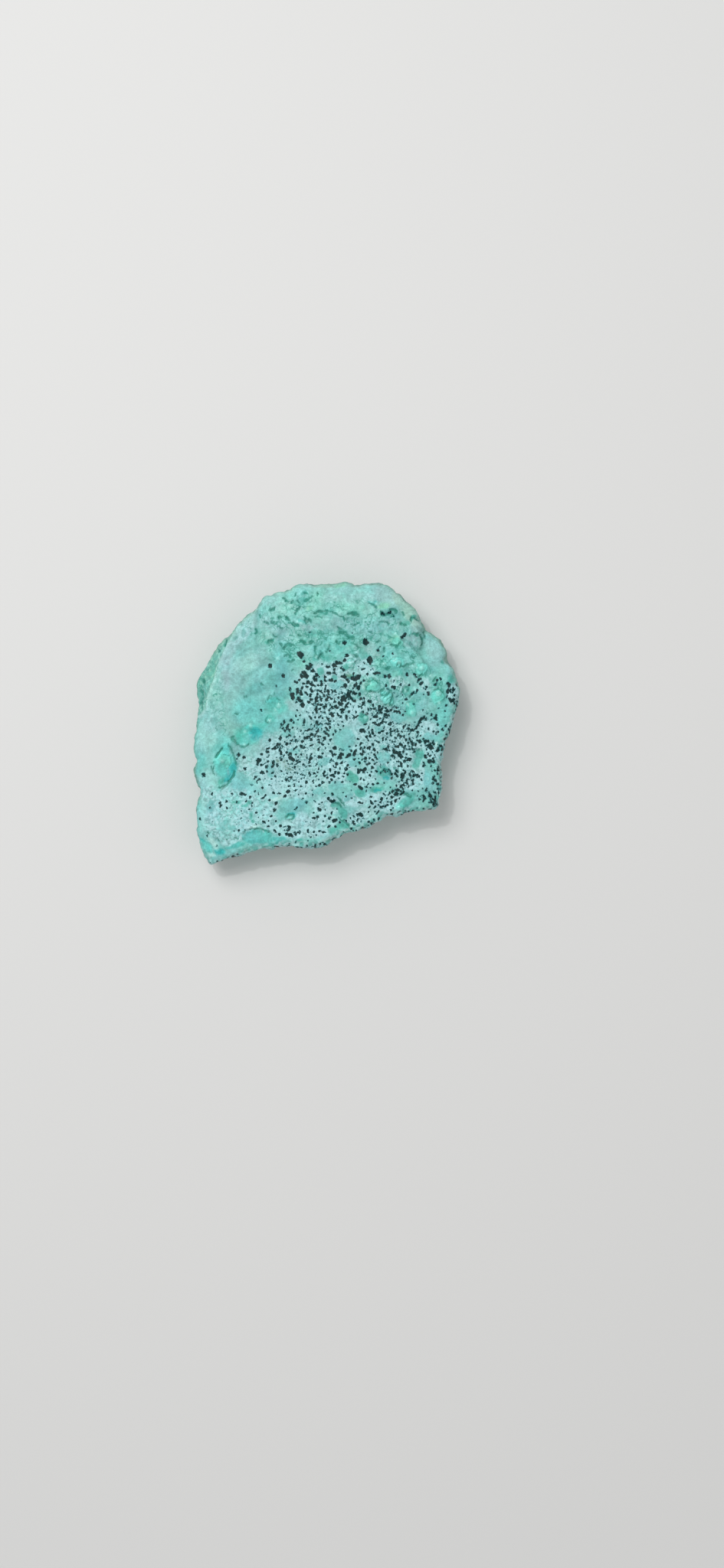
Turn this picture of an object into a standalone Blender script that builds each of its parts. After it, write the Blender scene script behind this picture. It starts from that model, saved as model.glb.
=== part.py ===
"""A hand specimen of chrysocolla: one broken slab of stone, lying on its flat back with its face up.

The face is nearly flat and carries low green knobs, hollows and pits. The rim is a lumpy natural crust
round the top, with a sloping band down its left side and a lower lobe at the upper right. The lower and
right edges are broken. Lengths below are in millimetres unless a name says otherwise, with the origin
under the middle of the stone's bounding box, on the plane that it rests on.
"""

import math

import bmesh
import bpy
import numpy as np
from mathutils import Vector, noise

MM = 0.001

WIDTH = 60.0
LENGTH = 64.0
THICKNESS = 13.0

# The stone's outline seen from above, anticlockwise from the right, before it is fitted to WIDTH and LENGTH
RIGHT_EDGE = [(29.1, 2.0), (29.8, 4.5), (29.9, 7.3), (29.4, 9.7), (28.4, 12.7), (27.1, 14.2)]
RIGHT_LOBE = [(27.1, 16.2), (26.0, 18.5), (24.3, 20.0), (22.4, 20.8)]
TOP_RIM = [
    (21.6, 23.1), (20.1, 25.7), (17.9, 28.0), (15.1, 30.3), (12.5, 31.7), (9.3, 31.7), (6.3, 31.2),
    (4.3, 32.0), (0.9, 31.4), (-3.5, 31.4), (-6.6, 31.2), (-8.5, 30.2), (-12.5, 29.3), (-14.4, 28.2),
    (-15.4, 26.5), (-17.3, 24.9),
]
LEFT_RIM = [
    (-20.0, 22.7), (-21.6, 20.5), (-23.7, 18.5), (-25.6, 15.9), (-27.3, 13.1), (-28.8, 10.7),
    (-29.3, 7.9), (-29.0, 3.5), (-29.1, -0.7), (-29.9, -5.1), (-29.3, -8.3), (-29.8, -11.3),
    (-29.1, -13.9), (-28.3, -15.9),
]
LOWER_LEFT_CORNER = [
    (-29.0, -18.7), (-29.3, -23.1), (-28.7, -27.7), (-27.5, -30.5), (-26.3, -32.0), (-24.5, -31.4),
]
LOWER_EDGE = [
    (-21.5, -30.5), (-18.7, -29.5), (-13.7, -28.5), (-8.9, -27.8), (-4.3, -28.1), (-0.5, -27.6),
    (2.3, -26.1), (5.5, -24.6), (9.5, -23.6), (11.7, -22.5), (13.5, -21.1), (16.1, -20.9),
    (18.7, -20.1), (22.5, -19.8),
]
LOWER_RIGHT_EDGE = [
    (24.8, -18.9), (25.7, -16.3), (25.9, -12.3), (26.2, -8.3), (27.1, -4.5), (28.4, -1.1),
]
OUTLINE = (
    RIGHT_EDGE + RIGHT_LOBE + TOP_RIM + LEFT_RIM + LOWER_LEFT_CORNER + LOWER_EDGE + LOWER_RIGHT_EDGE
)
SPLINE_STEPS = 10

# How the face turns down to the rim: angle in degrees, width of the turn, drop at the rim, and how round
# it is, from 0 for a flat bevel to 1 for a quarter circle
SHOULDER = [
    (0, 1.8, 2.6, 1.0),
    (28, 2.0, 2.8, 1.0),
    (40, 2.6, 3.0, 1.0),
    (75, 2.6, 2.6, 1.0),
    (110, 2.4, 2.6, 1.0),
    (128, 2.4, 3.0, 0.7),
    (140, 3.2, 4.2, 0.2),
    (158, 4.4, 5.0, 0.0),
    (172, 3.0, 4.2, 0.1),
    (184, 2.6, 3.4, 0.7),
    (212, 2.4, 2.8, 1.0),
    (231, 2.4, 2.4, 0.8),
    (250, 1.3, 1.8, 0.8),
    (285, 1.3, 1.8, 0.8),
    (318, 1.6, 2.2, 0.9),
    (345, 1.7, 2.4, 1.0),
]

# Slow changes round the stone as (times round, start, share), added up to run from about -1 to 1
ROUND_WAVES = [(2, 0.7, 0.32), (3, 2.1, 0.38), (5, 4.4, 0.28), (9, 1.3, 0.18)]

# The back: a flat resting face, and the slope that lifts from it to the rim, both changing with the waves
BACK_SLOPE_WIDTH = 5.2
BACK_SLOPE_RISE = 3.4
BACK_SLOPE_CURVE = 1.6
BACK_SLOPE_CHANGE = 0.42
BACK_LUMPS = (4.0, 0.3)

# The side between the face's edge and the back's edge: how far it leans in at the back, its hollows as
# (size of the lumps, depth), and the stretches where its lower part is broken back to a shelf, as
# (from degrees, to degrees, share of the way down to the back, depth)
SIDE_LEAN = 1.3
SIDE_LEAN_CHANGE = 0.7
SIDE_HOLLOWS = [(8.0, 2.6), (3.6, 1.1)]
SHELVES = [(64, 106, 0.55, 1.1), (192, 222, 0.45, 1.3), (238, 276, 0.5, 1.7), (296, 346, 0.4, 1.4)]
SHELF_WALL = 0.1
SHELF_ENDS = 9.0

# The face: how far its edge lies under its middle, the room left under THICKNESS for the knobs, the dip
# of the lower left corner as (x, y, radius, height), and unevenness as (size of the lumps, height)
FACE_DOME = 0.9
KNOB_ROOM = 0.35
CORNER_DIP = (-27.1, -30.2, 6.5, -1.6)
FACE_LUMPS = [(9.0, 0.22), (3.4, 0.16)]

# Forms of the face as (x, y, half length, half width, turn in degrees, height); below zero is a hollow
LOW_KNOBS = [
    (10.5, 8.5, 2.2, 2.0, 0, 0.65),
    (13.6, 5.5, 2.5, 1.8, -35, 0.75),
    (25.2, 6.1, 2.6, 2.1, 80, 0.65),
    (16.1, 17.9, 1.9, 1.7, 0, 0.7),
    (8.8, 1.3, 1.9, 1.5, 30, 0.5),
    (5.6, 13.3, 1.6, 1.4, 0, 0.55),
    (21.5, 12.3, 2.5, 2.0, 20, 0.6),
    (15.9, 13.7, 2.4, 1.8, 0, 0.45),
    (19.1, 3.3, 2.8, 1.6, -60, 0.45),
    (18.1, -17.9, 3.5, 1.7, 40, 0.6),
    (3.7, -19.9, 3.0, 1.7, -60, 0.5),
    (-7.1, -18.7, 3.8, 1.9, 22, 0.4),
    (4.7, -3.9, 3.0, 2.4, 20, 0.3),
    (-15.1, -26.1, 4.6, 1.8, 14, 0.4),
    (0.5, 22.3, 2.8, 2.2, 20, 0.45),
    (13.1, 21.9, 2.0, 1.6, 0, 0.4),
    (-2.0, 15.2, 1.9, 1.1, 65, 0.45),
    (10.7, 28.3, 2.0, 1.2, -20, 0.4),
]
HOLLOWS = [
    (-22.5, -9.3, 5.0, 3.1, 100, -1.3),
    (-17.5, -2.5, 3.4, 2.3, 10, -0.7),
    (-12.1, 2.5, 3.6, 2.7, 40, -0.55),
    (13.1, -11.3, 2.8, 1.7, -20, -0.6),
    (6.3, -12.3, 2.2, 1.5, 110, -0.5),
    (20.2, -8.5, 3.4, 1.6, 75, -0.55),
    (14.1, 24.6, 2.4, 1.4, 10, -0.8),
    (-7.7, 22.9, 2.6, 1.3, -35, -0.55),
    (-5.7, 28.1, 2.8, 1.3, 10, -0.45),
    (21.9, 18.4, 2.4, 0.8, 100, -0.3),
]
POOL_KNOB = (-23.5, -8.4, 2.2, 1.9, 20, 1.0)
RIGHT_LEDGE = (27.3, 18.6, 6.6, 4.8, 30, -1.4)
LEDGE_WALL = 0.38

# The mesh: how finely it is divided, how far its square grid is turned, how much its rings crowd
# towards the rim, and how far in from the rim the outline's small lobes are smoothed away
CELLS = 48
SIDE_ROWS = 6
GRID_TURN = 35.0
RIM_CROWDING = 1.25
LOBE_FADE = 6
LOBE_SMOOTHING = 9.0

STONE_COLOUR = (0.21, 0.54, 0.50, 1.0)
STONE_ROUGHNESS = 0.62


def clear_scene():
    for old in list(bpy.data.objects):
        bpy.data.objects.remove(old)


def smoothstep(low, high, value):
    share = min(1.0, max(0.0, (value - low) / (high - low)))
    return share * share * (3 - 2 * share)


def closed_spline(points, steps):
    """Points along a closed Catmull-Rom curve through the given points."""
    p = np.array(points, float)
    before, after, beyond = np.roll(p, 1, 0), np.roll(p, -1, 0), np.roll(p, -2, 0)
    found = []
    for t in np.arange(steps) / steps:
        found.append(
            0.5
            * (
                2 * p
                + (after - before) * t
                + (2 * before - 5 * p + 4 * after - beyond) * t**2
                + (3 * p - before - 3 * after + beyond) * t**3
            )
        )
    return np.stack(found, 1).reshape(-1, 2)


def fitted_outline():
    """The outline as a smooth line, centred on the origin and WIDTH by LENGTH across."""
    line = closed_spline(OUTLINE, SPLINE_STEPS)
    low, high = line.min(0), line.max(0)
    return (line - (low + high) / 2) * np.array([WIDTH, LENGTH]) / (high - low)


class Rim:
    """The outline's radius at an angle, as it is and with its small lobes smoothed away."""

    def __init__(self):
        line = fitted_outline()
        angles = np.arctan2(line[:, 1], line[:, 0]) % math.tau
        order = np.argsort(angles)
        degrees = np.arange(720) / 2
        self.angles = np.radians(degrees)
        self.radii = np.interp(self.angles, angles[order], np.hypot(*line.T)[order], period=math.tau)
        weight = np.exp(-((((degrees + 180) % 360 - 180) / LOBE_SMOOTHING) ** 2) / 2)
        spread = np.fft.fft(weight / weight.sum())
        self.soft_radii = np.fft.ifft(np.fft.fft(self.radii) * spread).real

    def radius(self, angle):
        return float(np.interp(angle, self.angles, self.radii, period=math.tau))

    def soft_radius(self, angle):
        return float(np.interp(angle, self.angles, self.soft_radii, period=math.tau))


def shoulder_at(angle):
    """(width, drop, roundness) of the face's turn down to the rim at an angle."""
    table = np.array(SHOULDER)
    degrees = math.degrees(angle) % 360
    return [float(np.interp(degrees, table[:, 0], column, period=360)) for column in table.T[1:]]


def disc_point(u, v):
    """(share of the radius, angle) for a point of the square from -1 to 1, its rings becoming circles."""
    if abs(u) < 0.001 and abs(v) < 0.001:
        return 0.0, 0.0
    if abs(u) >= abs(v):
        angle = math.pi / 4 * v / u + (math.pi if u < 0 else 0)
    else:
        angle = math.pi / 2 - math.pi / 4 * u / v + (math.pi if v < 0 else 0)
    return max(abs(u), abs(v)), (angle + math.radians(GRID_TURN)) % math.tau


def plan_point(rim, share, angle, inset):
    """(x, y) and the distance in from the outline along the radius, the outline being drawn in by inset."""
    soft, full = rim.soft_radius(angle), rim.radius(angle)
    radius = share * soft + share**LOBE_FADE * (full - soft - inset)
    return radius * math.cos(angle), radius * math.sin(angle), full - inset - radius


def form_share(form, x, y):
    """Distance from a form's middle, as a share of its half sizes."""
    turn = math.radians(form[4])
    dx, dy = x - form[0], y - form[1]
    along = dx * math.cos(turn) + dy * math.sin(turn)
    across = dy * math.cos(turn) - dx * math.sin(turn)
    return math.hypot(along / form[2], across / form[3])


def mound(form, x, y):
    share = form_share(form, x, y)
    return form[5] * (1 - share * share) ** 2 if share < 1 else 0.0


def ledge(form, x, y):
    return form[5] * smoothstep(1 + LEDGE_WALL, 1 - LEDGE_WALL, form_share(form, x, y))


def grain(x, y, z, size):
    """Smooth, repeatable unevenness from about -1 to 1, with lumps about this size."""
    return noise.noise(Vector((x, y, z)) / size)


def wave(angle):
    return sum(size * math.sin(count * angle + start) for count, start, size in ROUND_WAVES)


def face_height(x, y):
    """Height of the face, with its forms but without its turn down to the rim."""
    height = THICKNESS - KNOB_ROOM - FACE_DOME * (x * x + y * y) / (LENGTH / 2) ** 2
    height += sum(mound(form, x, y) for form in LOW_KNOBS + HOLLOWS + [POOL_KNOB])
    height += sum(rise * grain(x, y, 0, size) for size, rise in FACE_LUMPS)
    height += ledge(RIGHT_LEDGE, x, y)
    corner_x, corner_y, corner_radius, corner_drop = CORNER_DIP
    return height + corner_drop * smoothstep(corner_radius, 0, math.hypot(x - corner_x, y - corner_y))


def front_point(rim, share, angle):
    x, y, inward = plan_point(rim, share, angle, 0)
    width, drop, roundness = shoulder_at(angle)
    out = max(0.0, 1 - inward / width)
    turned = roundness * (1 - math.sqrt(1 - out * out)) + (1 - roundness) * out
    return x, y, face_height(x, y) - drop * turned


def side_inset(angle, part):
    """How far the side stands in from the outline, this share of the way down from face to back."""
    inset = SIDE_LEAN * (1 + SIDE_LEAN_CHANGE * wave(angle + 1)) * part**1.5
    degrees = math.degrees(angle) % 360
    for start, end, level, depth in SHELVES:
        along = smoothstep(start, start + SHELF_ENDS, degrees) * smoothstep(end, end - SHELF_ENDS, degrees)
        inset += depth * along * smoothstep(level - SHELF_WALL, level + SHELF_WALL, part)
    return inset


def back_point(rim, share, angle):
    x, y, inward = plan_point(rim, share, angle, side_inset(angle, 1))
    out = max(0.0, 1 - inward / (BACK_SLOPE_WIDTH * (1 + BACK_SLOPE_CHANGE * wave(angle + 2))))
    lift = BACK_SLOPE_RISE * (1 + BACK_SLOPE_CHANGE * wave(angle)) * out**BACK_SLOPE_CURVE
    size, share_of_lift = BACK_LUMPS
    return x, y, lift * (1 + share_of_lift * grain(x, y, 9, size))


def side_point(rim, angle, part):
    """A point of the side, this share of the way down from the face's edge to the back's edge."""
    top, bottom = front_point(rim, 1, angle), back_point(rim, 1, angle)
    z = top[2] + (bottom[2] - top[2]) * part
    radius = rim.radius(angle) - side_inset(angle, part)
    x, y = radius * math.cos(angle), radius * math.sin(angle)
    hollow = sum(depth * max(0.0, grain(x, y, z, size)) for size, depth in SIDE_HOLLOWS)
    radius -= hollow * math.sin(math.pi * part)
    return radius * math.cos(angle), radius * math.sin(angle), z


def crowded(share):
    """Moves rings of cells towards the rim, where the stone turns fastest."""
    return 1 - (1 - share) ** RIM_CROWDING


def stone_point(rim, u, v, w):
    """Where a point on the box from -1 to 1 goes: its top becomes the face, its bottom the back."""
    share, angle = disc_point(u, v)
    if w > 0.999:
        return front_point(rim, crowded(share), angle)
    if w < -0.999:
        return back_point(rim, crowded(share), angle)
    return side_point(rim, angle, (1 - w) / 2)


def divided_box():
    """A box from -1 to 1, divided into CELLS both ways above and below and SIDE_ROWS round its side."""
    box = bmesh.new()
    bmesh.ops.create_cube(box, size=2)
    for axis, parts in ((2, SIDE_ROWS), (0, CELLS), (1, CELLS)):
        along = [e for e in box.edges if abs(e.verts[0].co[axis] - e.verts[1].co[axis]) > 0.001]
        bmesh.ops.subdivide_edges(box, edges=along, cuts=parts - 1, use_grid_fill=True)
    return box


def stone_mesh():
    rim = Rim()
    box = divided_box()
    for vertex in box.verts:
        vertex.co = Vector(stone_point(rim, *vertex.co)) * MM
    mesh = bpy.data.meshes.new("chrysocolla_stone")
    box.to_mesh(mesh)
    box.free()
    return mesh


def stone_material():
    material = bpy.data.materials.new("chrysocolla")
    material.use_nodes = True
    shader = material.node_tree.nodes["Principled BSDF"]
    shader.inputs["Base Color"].default_value = STONE_COLOUR
    shader.inputs["Roughness"].default_value = STONE_ROUGHNESS
    shader.inputs["Metallic"].default_value = 0.0
    return material


def main():
    clear_scene()
    mesh = stone_mesh()
    mesh.materials.append(stone_material())
    mesh.shade_smooth()
    stone = bpy.data.objects.new("chrysocolla_stone", mesh)
    bpy.context.scene.collection.objects.link(stone)


main()
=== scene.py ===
import math

import bpy
import numpy as np
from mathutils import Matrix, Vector, kdtree, noise


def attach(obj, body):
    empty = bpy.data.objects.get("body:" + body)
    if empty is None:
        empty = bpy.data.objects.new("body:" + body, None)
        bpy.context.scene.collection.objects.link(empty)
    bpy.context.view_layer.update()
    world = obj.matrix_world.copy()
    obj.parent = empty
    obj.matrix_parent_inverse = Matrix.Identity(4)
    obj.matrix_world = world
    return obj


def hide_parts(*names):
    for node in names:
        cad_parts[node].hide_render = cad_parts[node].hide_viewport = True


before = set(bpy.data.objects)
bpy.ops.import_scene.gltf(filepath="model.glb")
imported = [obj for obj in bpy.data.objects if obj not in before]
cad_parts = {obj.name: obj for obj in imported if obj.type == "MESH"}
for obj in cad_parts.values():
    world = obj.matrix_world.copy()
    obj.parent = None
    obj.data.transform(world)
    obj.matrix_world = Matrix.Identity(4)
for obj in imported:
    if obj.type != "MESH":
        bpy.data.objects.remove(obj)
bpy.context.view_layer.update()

# The slab of chrysocolla: a single broken piece of copper mineral, with its own crust left round the top
# and the left, and rough breaks along its lower and right edges. It lies on its flat back, face up.
# Places and lengths are in millimetres, from the point of the floor under the middle of the stone.
MM = 0.001
WIDTH = 60.0
LENGTH = 64.0
THICKNESS = 13.0

RIGHT_EDGE = [(29.1, 2.0), (29.8, 4.5), (29.9, 7.3), (29.4, 9.7), (28.4, 12.7), (27.1, 14.2)]
RIGHT_LOBE = [(27.1, 16.2), (26.0, 18.5), (24.3, 20.0), (22.4, 20.8)]
TOP_RIM = [
    (21.6, 23.1), (20.1, 25.7), (17.9, 28.0), (15.1, 30.3), (12.5, 31.7), (9.3, 31.7), (6.3, 31.2),
    (4.3, 32.0), (0.9, 31.4), (-3.5, 31.4), (-6.6, 31.2), (-8.5, 30.2), (-12.5, 29.3), (-14.4, 28.2),
    (-15.4, 26.5), (-17.3, 24.9),
]
LEFT_RIM = [
    (-20.0, 22.7), (-21.6, 20.5), (-23.7, 18.5), (-25.6, 15.9), (-27.3, 13.1), (-28.8, 10.7),
    (-29.3, 7.9), (-29.0, 3.5), (-29.1, -0.7), (-29.9, -5.1), (-29.3, -8.3), (-29.8, -11.3),
    (-29.1, -13.9), (-28.3, -15.9),
]
LOWER_LEFT_CORNER = [
    (-29.0, -18.7), (-29.3, -23.1), (-28.7, -27.7), (-27.5, -30.5), (-26.3, -32.0), (-24.5, -31.4),
]
LOWER_EDGE = [
    (-21.5, -30.5), (-18.7, -29.5), (-13.7, -28.5), (-8.9, -27.8), (-4.3, -28.1), (-0.5, -27.6),
    (2.3, -26.1), (5.5, -24.6), (9.5, -23.6), (11.7, -22.5), (13.5, -21.1), (16.1, -20.9),
    (18.7, -20.1), (22.5, -19.8),
]
LOWER_RIGHT_EDGE = [
    (24.8, -18.9), (25.7, -16.3), (25.9, -12.3), (26.2, -8.3), (27.1, -4.5), (28.4, -1.1),
]
OUTLINE = (
    RIGHT_EDGE + RIGHT_LOBE + TOP_RIM + LEFT_RIM + LOWER_LEFT_CORNER + LOWER_EDGE + LOWER_RIGHT_EDGE
)

# How the face turns down to the rim: angle in degrees, width, drop, and roundness from bevel to quarter circle
SHOULDER = np.array([
    (0, 1.8, 2.6, 1.0), (28, 2.0, 2.8, 1.0), (40, 2.6, 3.0, 1.0), (75, 2.6, 2.6, 1.0),
    (110, 2.4, 2.6, 1.0), (128, 2.4, 3.0, 0.7), (140, 3.2, 4.2, 0.2), (158, 4.4, 5.0, 0.0),
    (172, 3.0, 4.2, 0.1), (184, 2.6, 3.4, 0.7), (212, 2.4, 2.8, 1.0), (231, 2.4, 2.4, 0.8),
    (250, 1.3, 1.8, 0.8), (285, 1.3, 1.8, 0.8), (318, 1.6, 2.2, 0.9), (345, 1.7, 2.4, 1.0),
])
ROUND_WAVES = [(2, 0.7, 0.32), (3, 2.1, 0.38), (5, 4.4, 0.28), (9, 1.3, 0.18)]
BACK_SLOPE_WIDTH = 5.2
BACK_SLOPE_RISE = 3.4
BACK_SLOPE_CURVE = 1.6
BACK_SLOPE_CHANGE = 0.42
BACK_LUMPS = (4.0, 0.3)
SIDE_LEAN = 1.3
SIDE_LEAN_CHANGE = 0.7
SIDE_HOLLOWS = [(8.0, 2.6), (3.6, 1.1)]
SHELVES = [(64, 106, 0.55, 1.1), (192, 222, 0.45, 1.3), (238, 276, 0.5, 1.7), (296, 346, 0.4, 1.4)]
SHELF_WALL = 0.1
SHELF_ENDS = 9.0

# The face's forms as (x, y, half length, half width, turn in degrees, height)
FACE_DOME = 0.9
KNOB_ROOM = 0.35
CORNER_DIP = (-27.1, -30.2, 6.5, -1.6)
FACE_LUMPS = [(9.0, 0.22), (3.4, 0.16)]
LOW_KNOBS = [
    (10.5, 8.5, 2.2, 2.0, 0, 0.65), (13.6, 5.5, 2.5, 1.8, -35, 0.75), (25.2, 6.1, 2.6, 2.1, 80, 0.65),
    (16.1, 17.9, 1.9, 1.7, 0, 0.7), (5.6, 13.3, 1.6, 1.4, 0, 0.55),
    (21.5, 12.3, 2.5, 2.0, 20, 0.6), (15.9, 13.7, 2.4, 1.8, 0, 0.45), (19.1, 3.3, 2.8, 1.6, -60, 0.45),
    (8.8, 1.3, 1.9, 1.5, 30, 0.5),
    (18.1, -17.9, 3.5, 1.7, 40, 0.6), (3.7, -19.9, 3.0, 1.7, -60, 0.5), (-7.1, -18.7, 3.8, 1.9, 22, 0.4),
    (4.7, -3.9, 3.0, 2.4, 20, 0.3), (-15.1, -26.1, 4.6, 1.8, 14, 0.4), (0.5, 22.3, 2.8, 2.2, 20, 0.45),
    (13.1, 21.9, 2.0, 1.6, 0, 0.4), (-2.0, 15.2, 1.9, 1.1, 65, 0.45), (10.7, 28.3, 2.0, 1.2, -20, 0.4),
]
HOLLOWS = [
    (-22.5, -9.3, 5.0, 3.1, 100, -1.3), (-17.5, -2.5, 3.4, 2.3, 10, -0.7),
    (-12.1, 2.5, 3.6, 2.7, 40, -0.55), (13.1, -11.3, 2.8, 1.7, -20, -0.6),
    (6.3, -12.3, 2.2, 1.5, 110, -0.5), (20.2, -8.5, 3.4, 1.6, 75, -0.55),
    (14.1, 24.6, 2.4, 1.4, 10, -0.8), (-7.7, 22.9, 2.6, 1.3, -35, -0.55),
    (-5.7, 28.1, 2.8, 1.3, 10, -0.45), (21.9, 18.4, 2.4, 0.8, 100, -0.3),
]
POOL_KNOB = (-23.5, -8.4, 2.2, 1.9, 20, 1.0)
RIGHT_LEDGE = (27.3, 18.6, 6.6, 4.8, 30, -1.4)
LEDGE_WALL = 0.38

FACE_CELLS = 248
SIDE_ROWS = 20
BACK_RINGS = [(0.975, 1), (0.945, 2), (0.905, 2), (0.865, 2), (0.82, 4), (0.77, 4)]
BACK_CELLS = 62
GRID_TURN = 35.0
RIM_CROWDING = 1.1
LOBE_FADE = 6
LOBE_SMOOTHING = 9.0


def smoothstep(low, high, value):
    share = np.clip((value - low) / (high - low), 0, 1)
    return share * share * (3 - 2 * share)


def lumps(places, size, layer=0.0):
    """Smooth unevenness from about -1 to 1 at each place, with lumps about this size."""
    return np.array([noise.noise(Vector(p)) for p in (places / size + layer).tolist()])


def flat(x, y, z=0.0):
    return np.stack([x, y, np.full_like(x, z)], -1)


def closed_spline(points, steps=10):
    p = np.array(points, float)
    before, after, beyond = np.roll(p, 1, 0), np.roll(p, -1, 0), np.roll(p, -2, 0)
    found = []
    for t in np.arange(steps) / steps:
        bend = (2 * before - 5 * p + 4 * after - beyond) * t**2 + (3 * p - before - 3 * after + beyond) * t**3
        found.append(0.5 * (2 * p + (after - before) * t + bend))
    return np.stack(found, 1).reshape(-1, 2)


def rim_radii():
    """The outline's radius at each half degree, as it is and with its small lobes smoothed away."""
    line = closed_spline(OUTLINE)
    low, high = line.min(0), line.max(0)
    line = (line - (low + high) / 2) * np.array([WIDTH, LENGTH]) / (high - low)
    angles = np.arctan2(line[:, 1], line[:, 0]) % math.tau
    order = np.argsort(angles)
    degrees = np.arange(720) / 2
    radii = np.interp(np.radians(degrees), angles[order], np.hypot(*line.T)[order], period=math.tau)
    weight = np.exp(-((((degrees + 180) % 360 - 180) / LOBE_SMOOTHING) ** 2) / 2)
    spread = np.fft.fft(weight / weight.sum())
    return np.radians(degrees), radii, np.fft.ifft(np.fft.fft(radii) * spread).real


RIM_ANGLES, RIM_RADII, SOFT_RADII = rim_radii()


def rim_radius(angle):
    return np.interp(angle, RIM_ANGLES, RIM_RADII, period=math.tau)


def wave(angle):
    return sum(size * np.sin(count * angle + start) for count, start, size in ROUND_WAVES)


def disc(cells):
    """(share of the radius, angle) over a square grid whose rings of cells become circles."""
    steps = np.linspace(-1, 1, cells + 1)
    u, v = (g.ravel() for g in np.meshgrid(steps, steps, indexing="ij"))
    wide = abs(u) >= abs(v)
    longer = np.where(wide, u, v)
    longer = np.where(longer == 0, 1, longer)
    turn = math.pi / 4 * np.where(wide, v, -u) / longer + np.where(wide, 0, math.pi / 2)
    angle = turn + math.pi * (longer < 0)
    return np.maximum(abs(u), abs(v)), (angle + math.radians(GRID_TURN)) % math.tau


def plan_place(share, angle, inset):
    """(x, y) and the distance in from the rim, the rim being drawn in by inset."""
    soft = np.interp(angle, RIM_ANGLES, SOFT_RADII, period=math.tau)
    full = rim_radius(angle)
    radius = share * soft + share**LOBE_FADE * (full - soft - inset)
    return radius * np.cos(angle), radius * np.sin(angle), full - inset - radius


def form_share(form, x, y):
    turn = math.radians(form[4])
    dx, dy = x - form[0], y - form[1]
    along = dx * math.cos(turn) + dy * math.sin(turn)
    across = dy * math.cos(turn) - dx * math.sin(turn)
    return np.hypot(along / form[2], across / form[3])


def mound(form, x, y):
    return form[5] * np.clip(1 - form_share(form, x, y) ** 2, 0, 1) ** 2


def face_height(x, y):
    height = THICKNESS - KNOB_ROOM - FACE_DOME * (x * x + y * y) / (LENGTH / 2) ** 2
    height = height + sum(mound(form, x, y) for form in LOW_KNOBS + HOLLOWS + [POOL_KNOB])
    height += sum(rise * lumps(flat(x, y), size) for size, rise in FACE_LUMPS)
    height += RIGHT_LEDGE[5] * smoothstep(1 + LEDGE_WALL, 1 - LEDGE_WALL, form_share(RIGHT_LEDGE, x, y))
    corner_x, corner_y, corner_radius, corner_drop = CORNER_DIP
    return height + corner_drop * smoothstep(corner_radius, 0, np.hypot(x - corner_x, y - corner_y))


def face_place(share, angle):
    x, y, inward = plan_place(share, angle, 0)
    degrees = np.degrees(angle)
    width, drop, roundness = (np.interp(degrees, SHOULDER[:, 0], c, period=360) for c in SHOULDER.T[1:])
    out = np.clip(1 - inward / width, 0, 1)
    turned = roundness * (1 - np.sqrt(1 - out * out)) + (1 - roundness) * out
    return np.stack([x, y, face_height(x, y) - drop * turned], -1)


def side_inset(angle, part):
    """How far the side stands in from the outline, this share of the way down from face to back."""
    inset = SIDE_LEAN * (1 + SIDE_LEAN_CHANGE * wave(angle + 1)) * part**1.5
    degrees = np.degrees(angle)
    for start, end, level, depth in SHELVES:
        along = smoothstep(start, start + SHELF_ENDS, degrees) * smoothstep(end, end - SHELF_ENDS, degrees)
        inset = inset + depth * along * smoothstep(level - SHELF_WALL, level + SHELF_WALL, part)
    return inset


def back_place(share, angle):
    x, y, inward = plan_place(share, angle, side_inset(angle, 1))
    out = np.clip(1 - inward / (BACK_SLOPE_WIDTH * (1 + BACK_SLOPE_CHANGE * wave(angle + 2))), 0, 1)
    lift = BACK_SLOPE_RISE * (1 + BACK_SLOPE_CHANGE * wave(angle)) * out**BACK_SLOPE_CURVE
    size, share_of_lift = BACK_LUMPS
    return np.stack([x, y, lift * (1 + share_of_lift * lumps(flat(x, y, 9.0), size))], -1)


def side_place(angle, part):
    """A ring of the side, this share of the way down from the face's edge to the back's edge."""
    top, bottom = face_place(np.ones_like(angle), angle)[:, 2], back_place(np.ones_like(angle), angle)[:, 2]
    z = top + (bottom - top) * part
    radius = rim_radius(angle) - side_inset(angle, part)
    round_place = np.stack([radius * np.cos(angle), radius * np.sin(angle), z], -1)
    hollow = sum(depth * np.maximum(0, lumps(round_place, size)) for size, depth in SIDE_HOLLOWS)
    radius = radius - hollow * math.sin(math.pi * part)
    return np.stack([radius * np.cos(angle), radius * np.sin(angle), z], -1)


def border_walk(cells):
    """The border of a square grid's points, once round, anticlockwise."""
    side, width = np.arange(cells), cells + 1
    rows = [side * width, cells * width + side, (cells - side) * width + cells, cells - side]
    return np.concatenate(rows)


def grid_quads(cells):
    i, j = (g.ravel() for g in np.meshgrid(np.arange(cells), np.arange(cells), indexing="ij"))
    corner = i * (cells + 1) + j
    return np.stack([corner, corner + cells + 1, corner + cells + 2, corner + 1], -1)


def band(outer, inner):
    """Faces between two rings of points, the inner one having as many points or half as many."""
    nearer, further = np.roll(outer, -1), np.roll(inner, -1)
    if len(outer) == len(inner):
        return np.stack([outer, inner, further, nearer], -1).tolist()
    first, middle, last = outer[::2], outer[1::2], np.roll(outer[::2], -1)
    fans = [(first, inner, middle), (inner, further, middle), (further, last, middle)]
    return [corners for fan in fans for corners in np.stack(fan, -1).tolist()]


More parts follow.
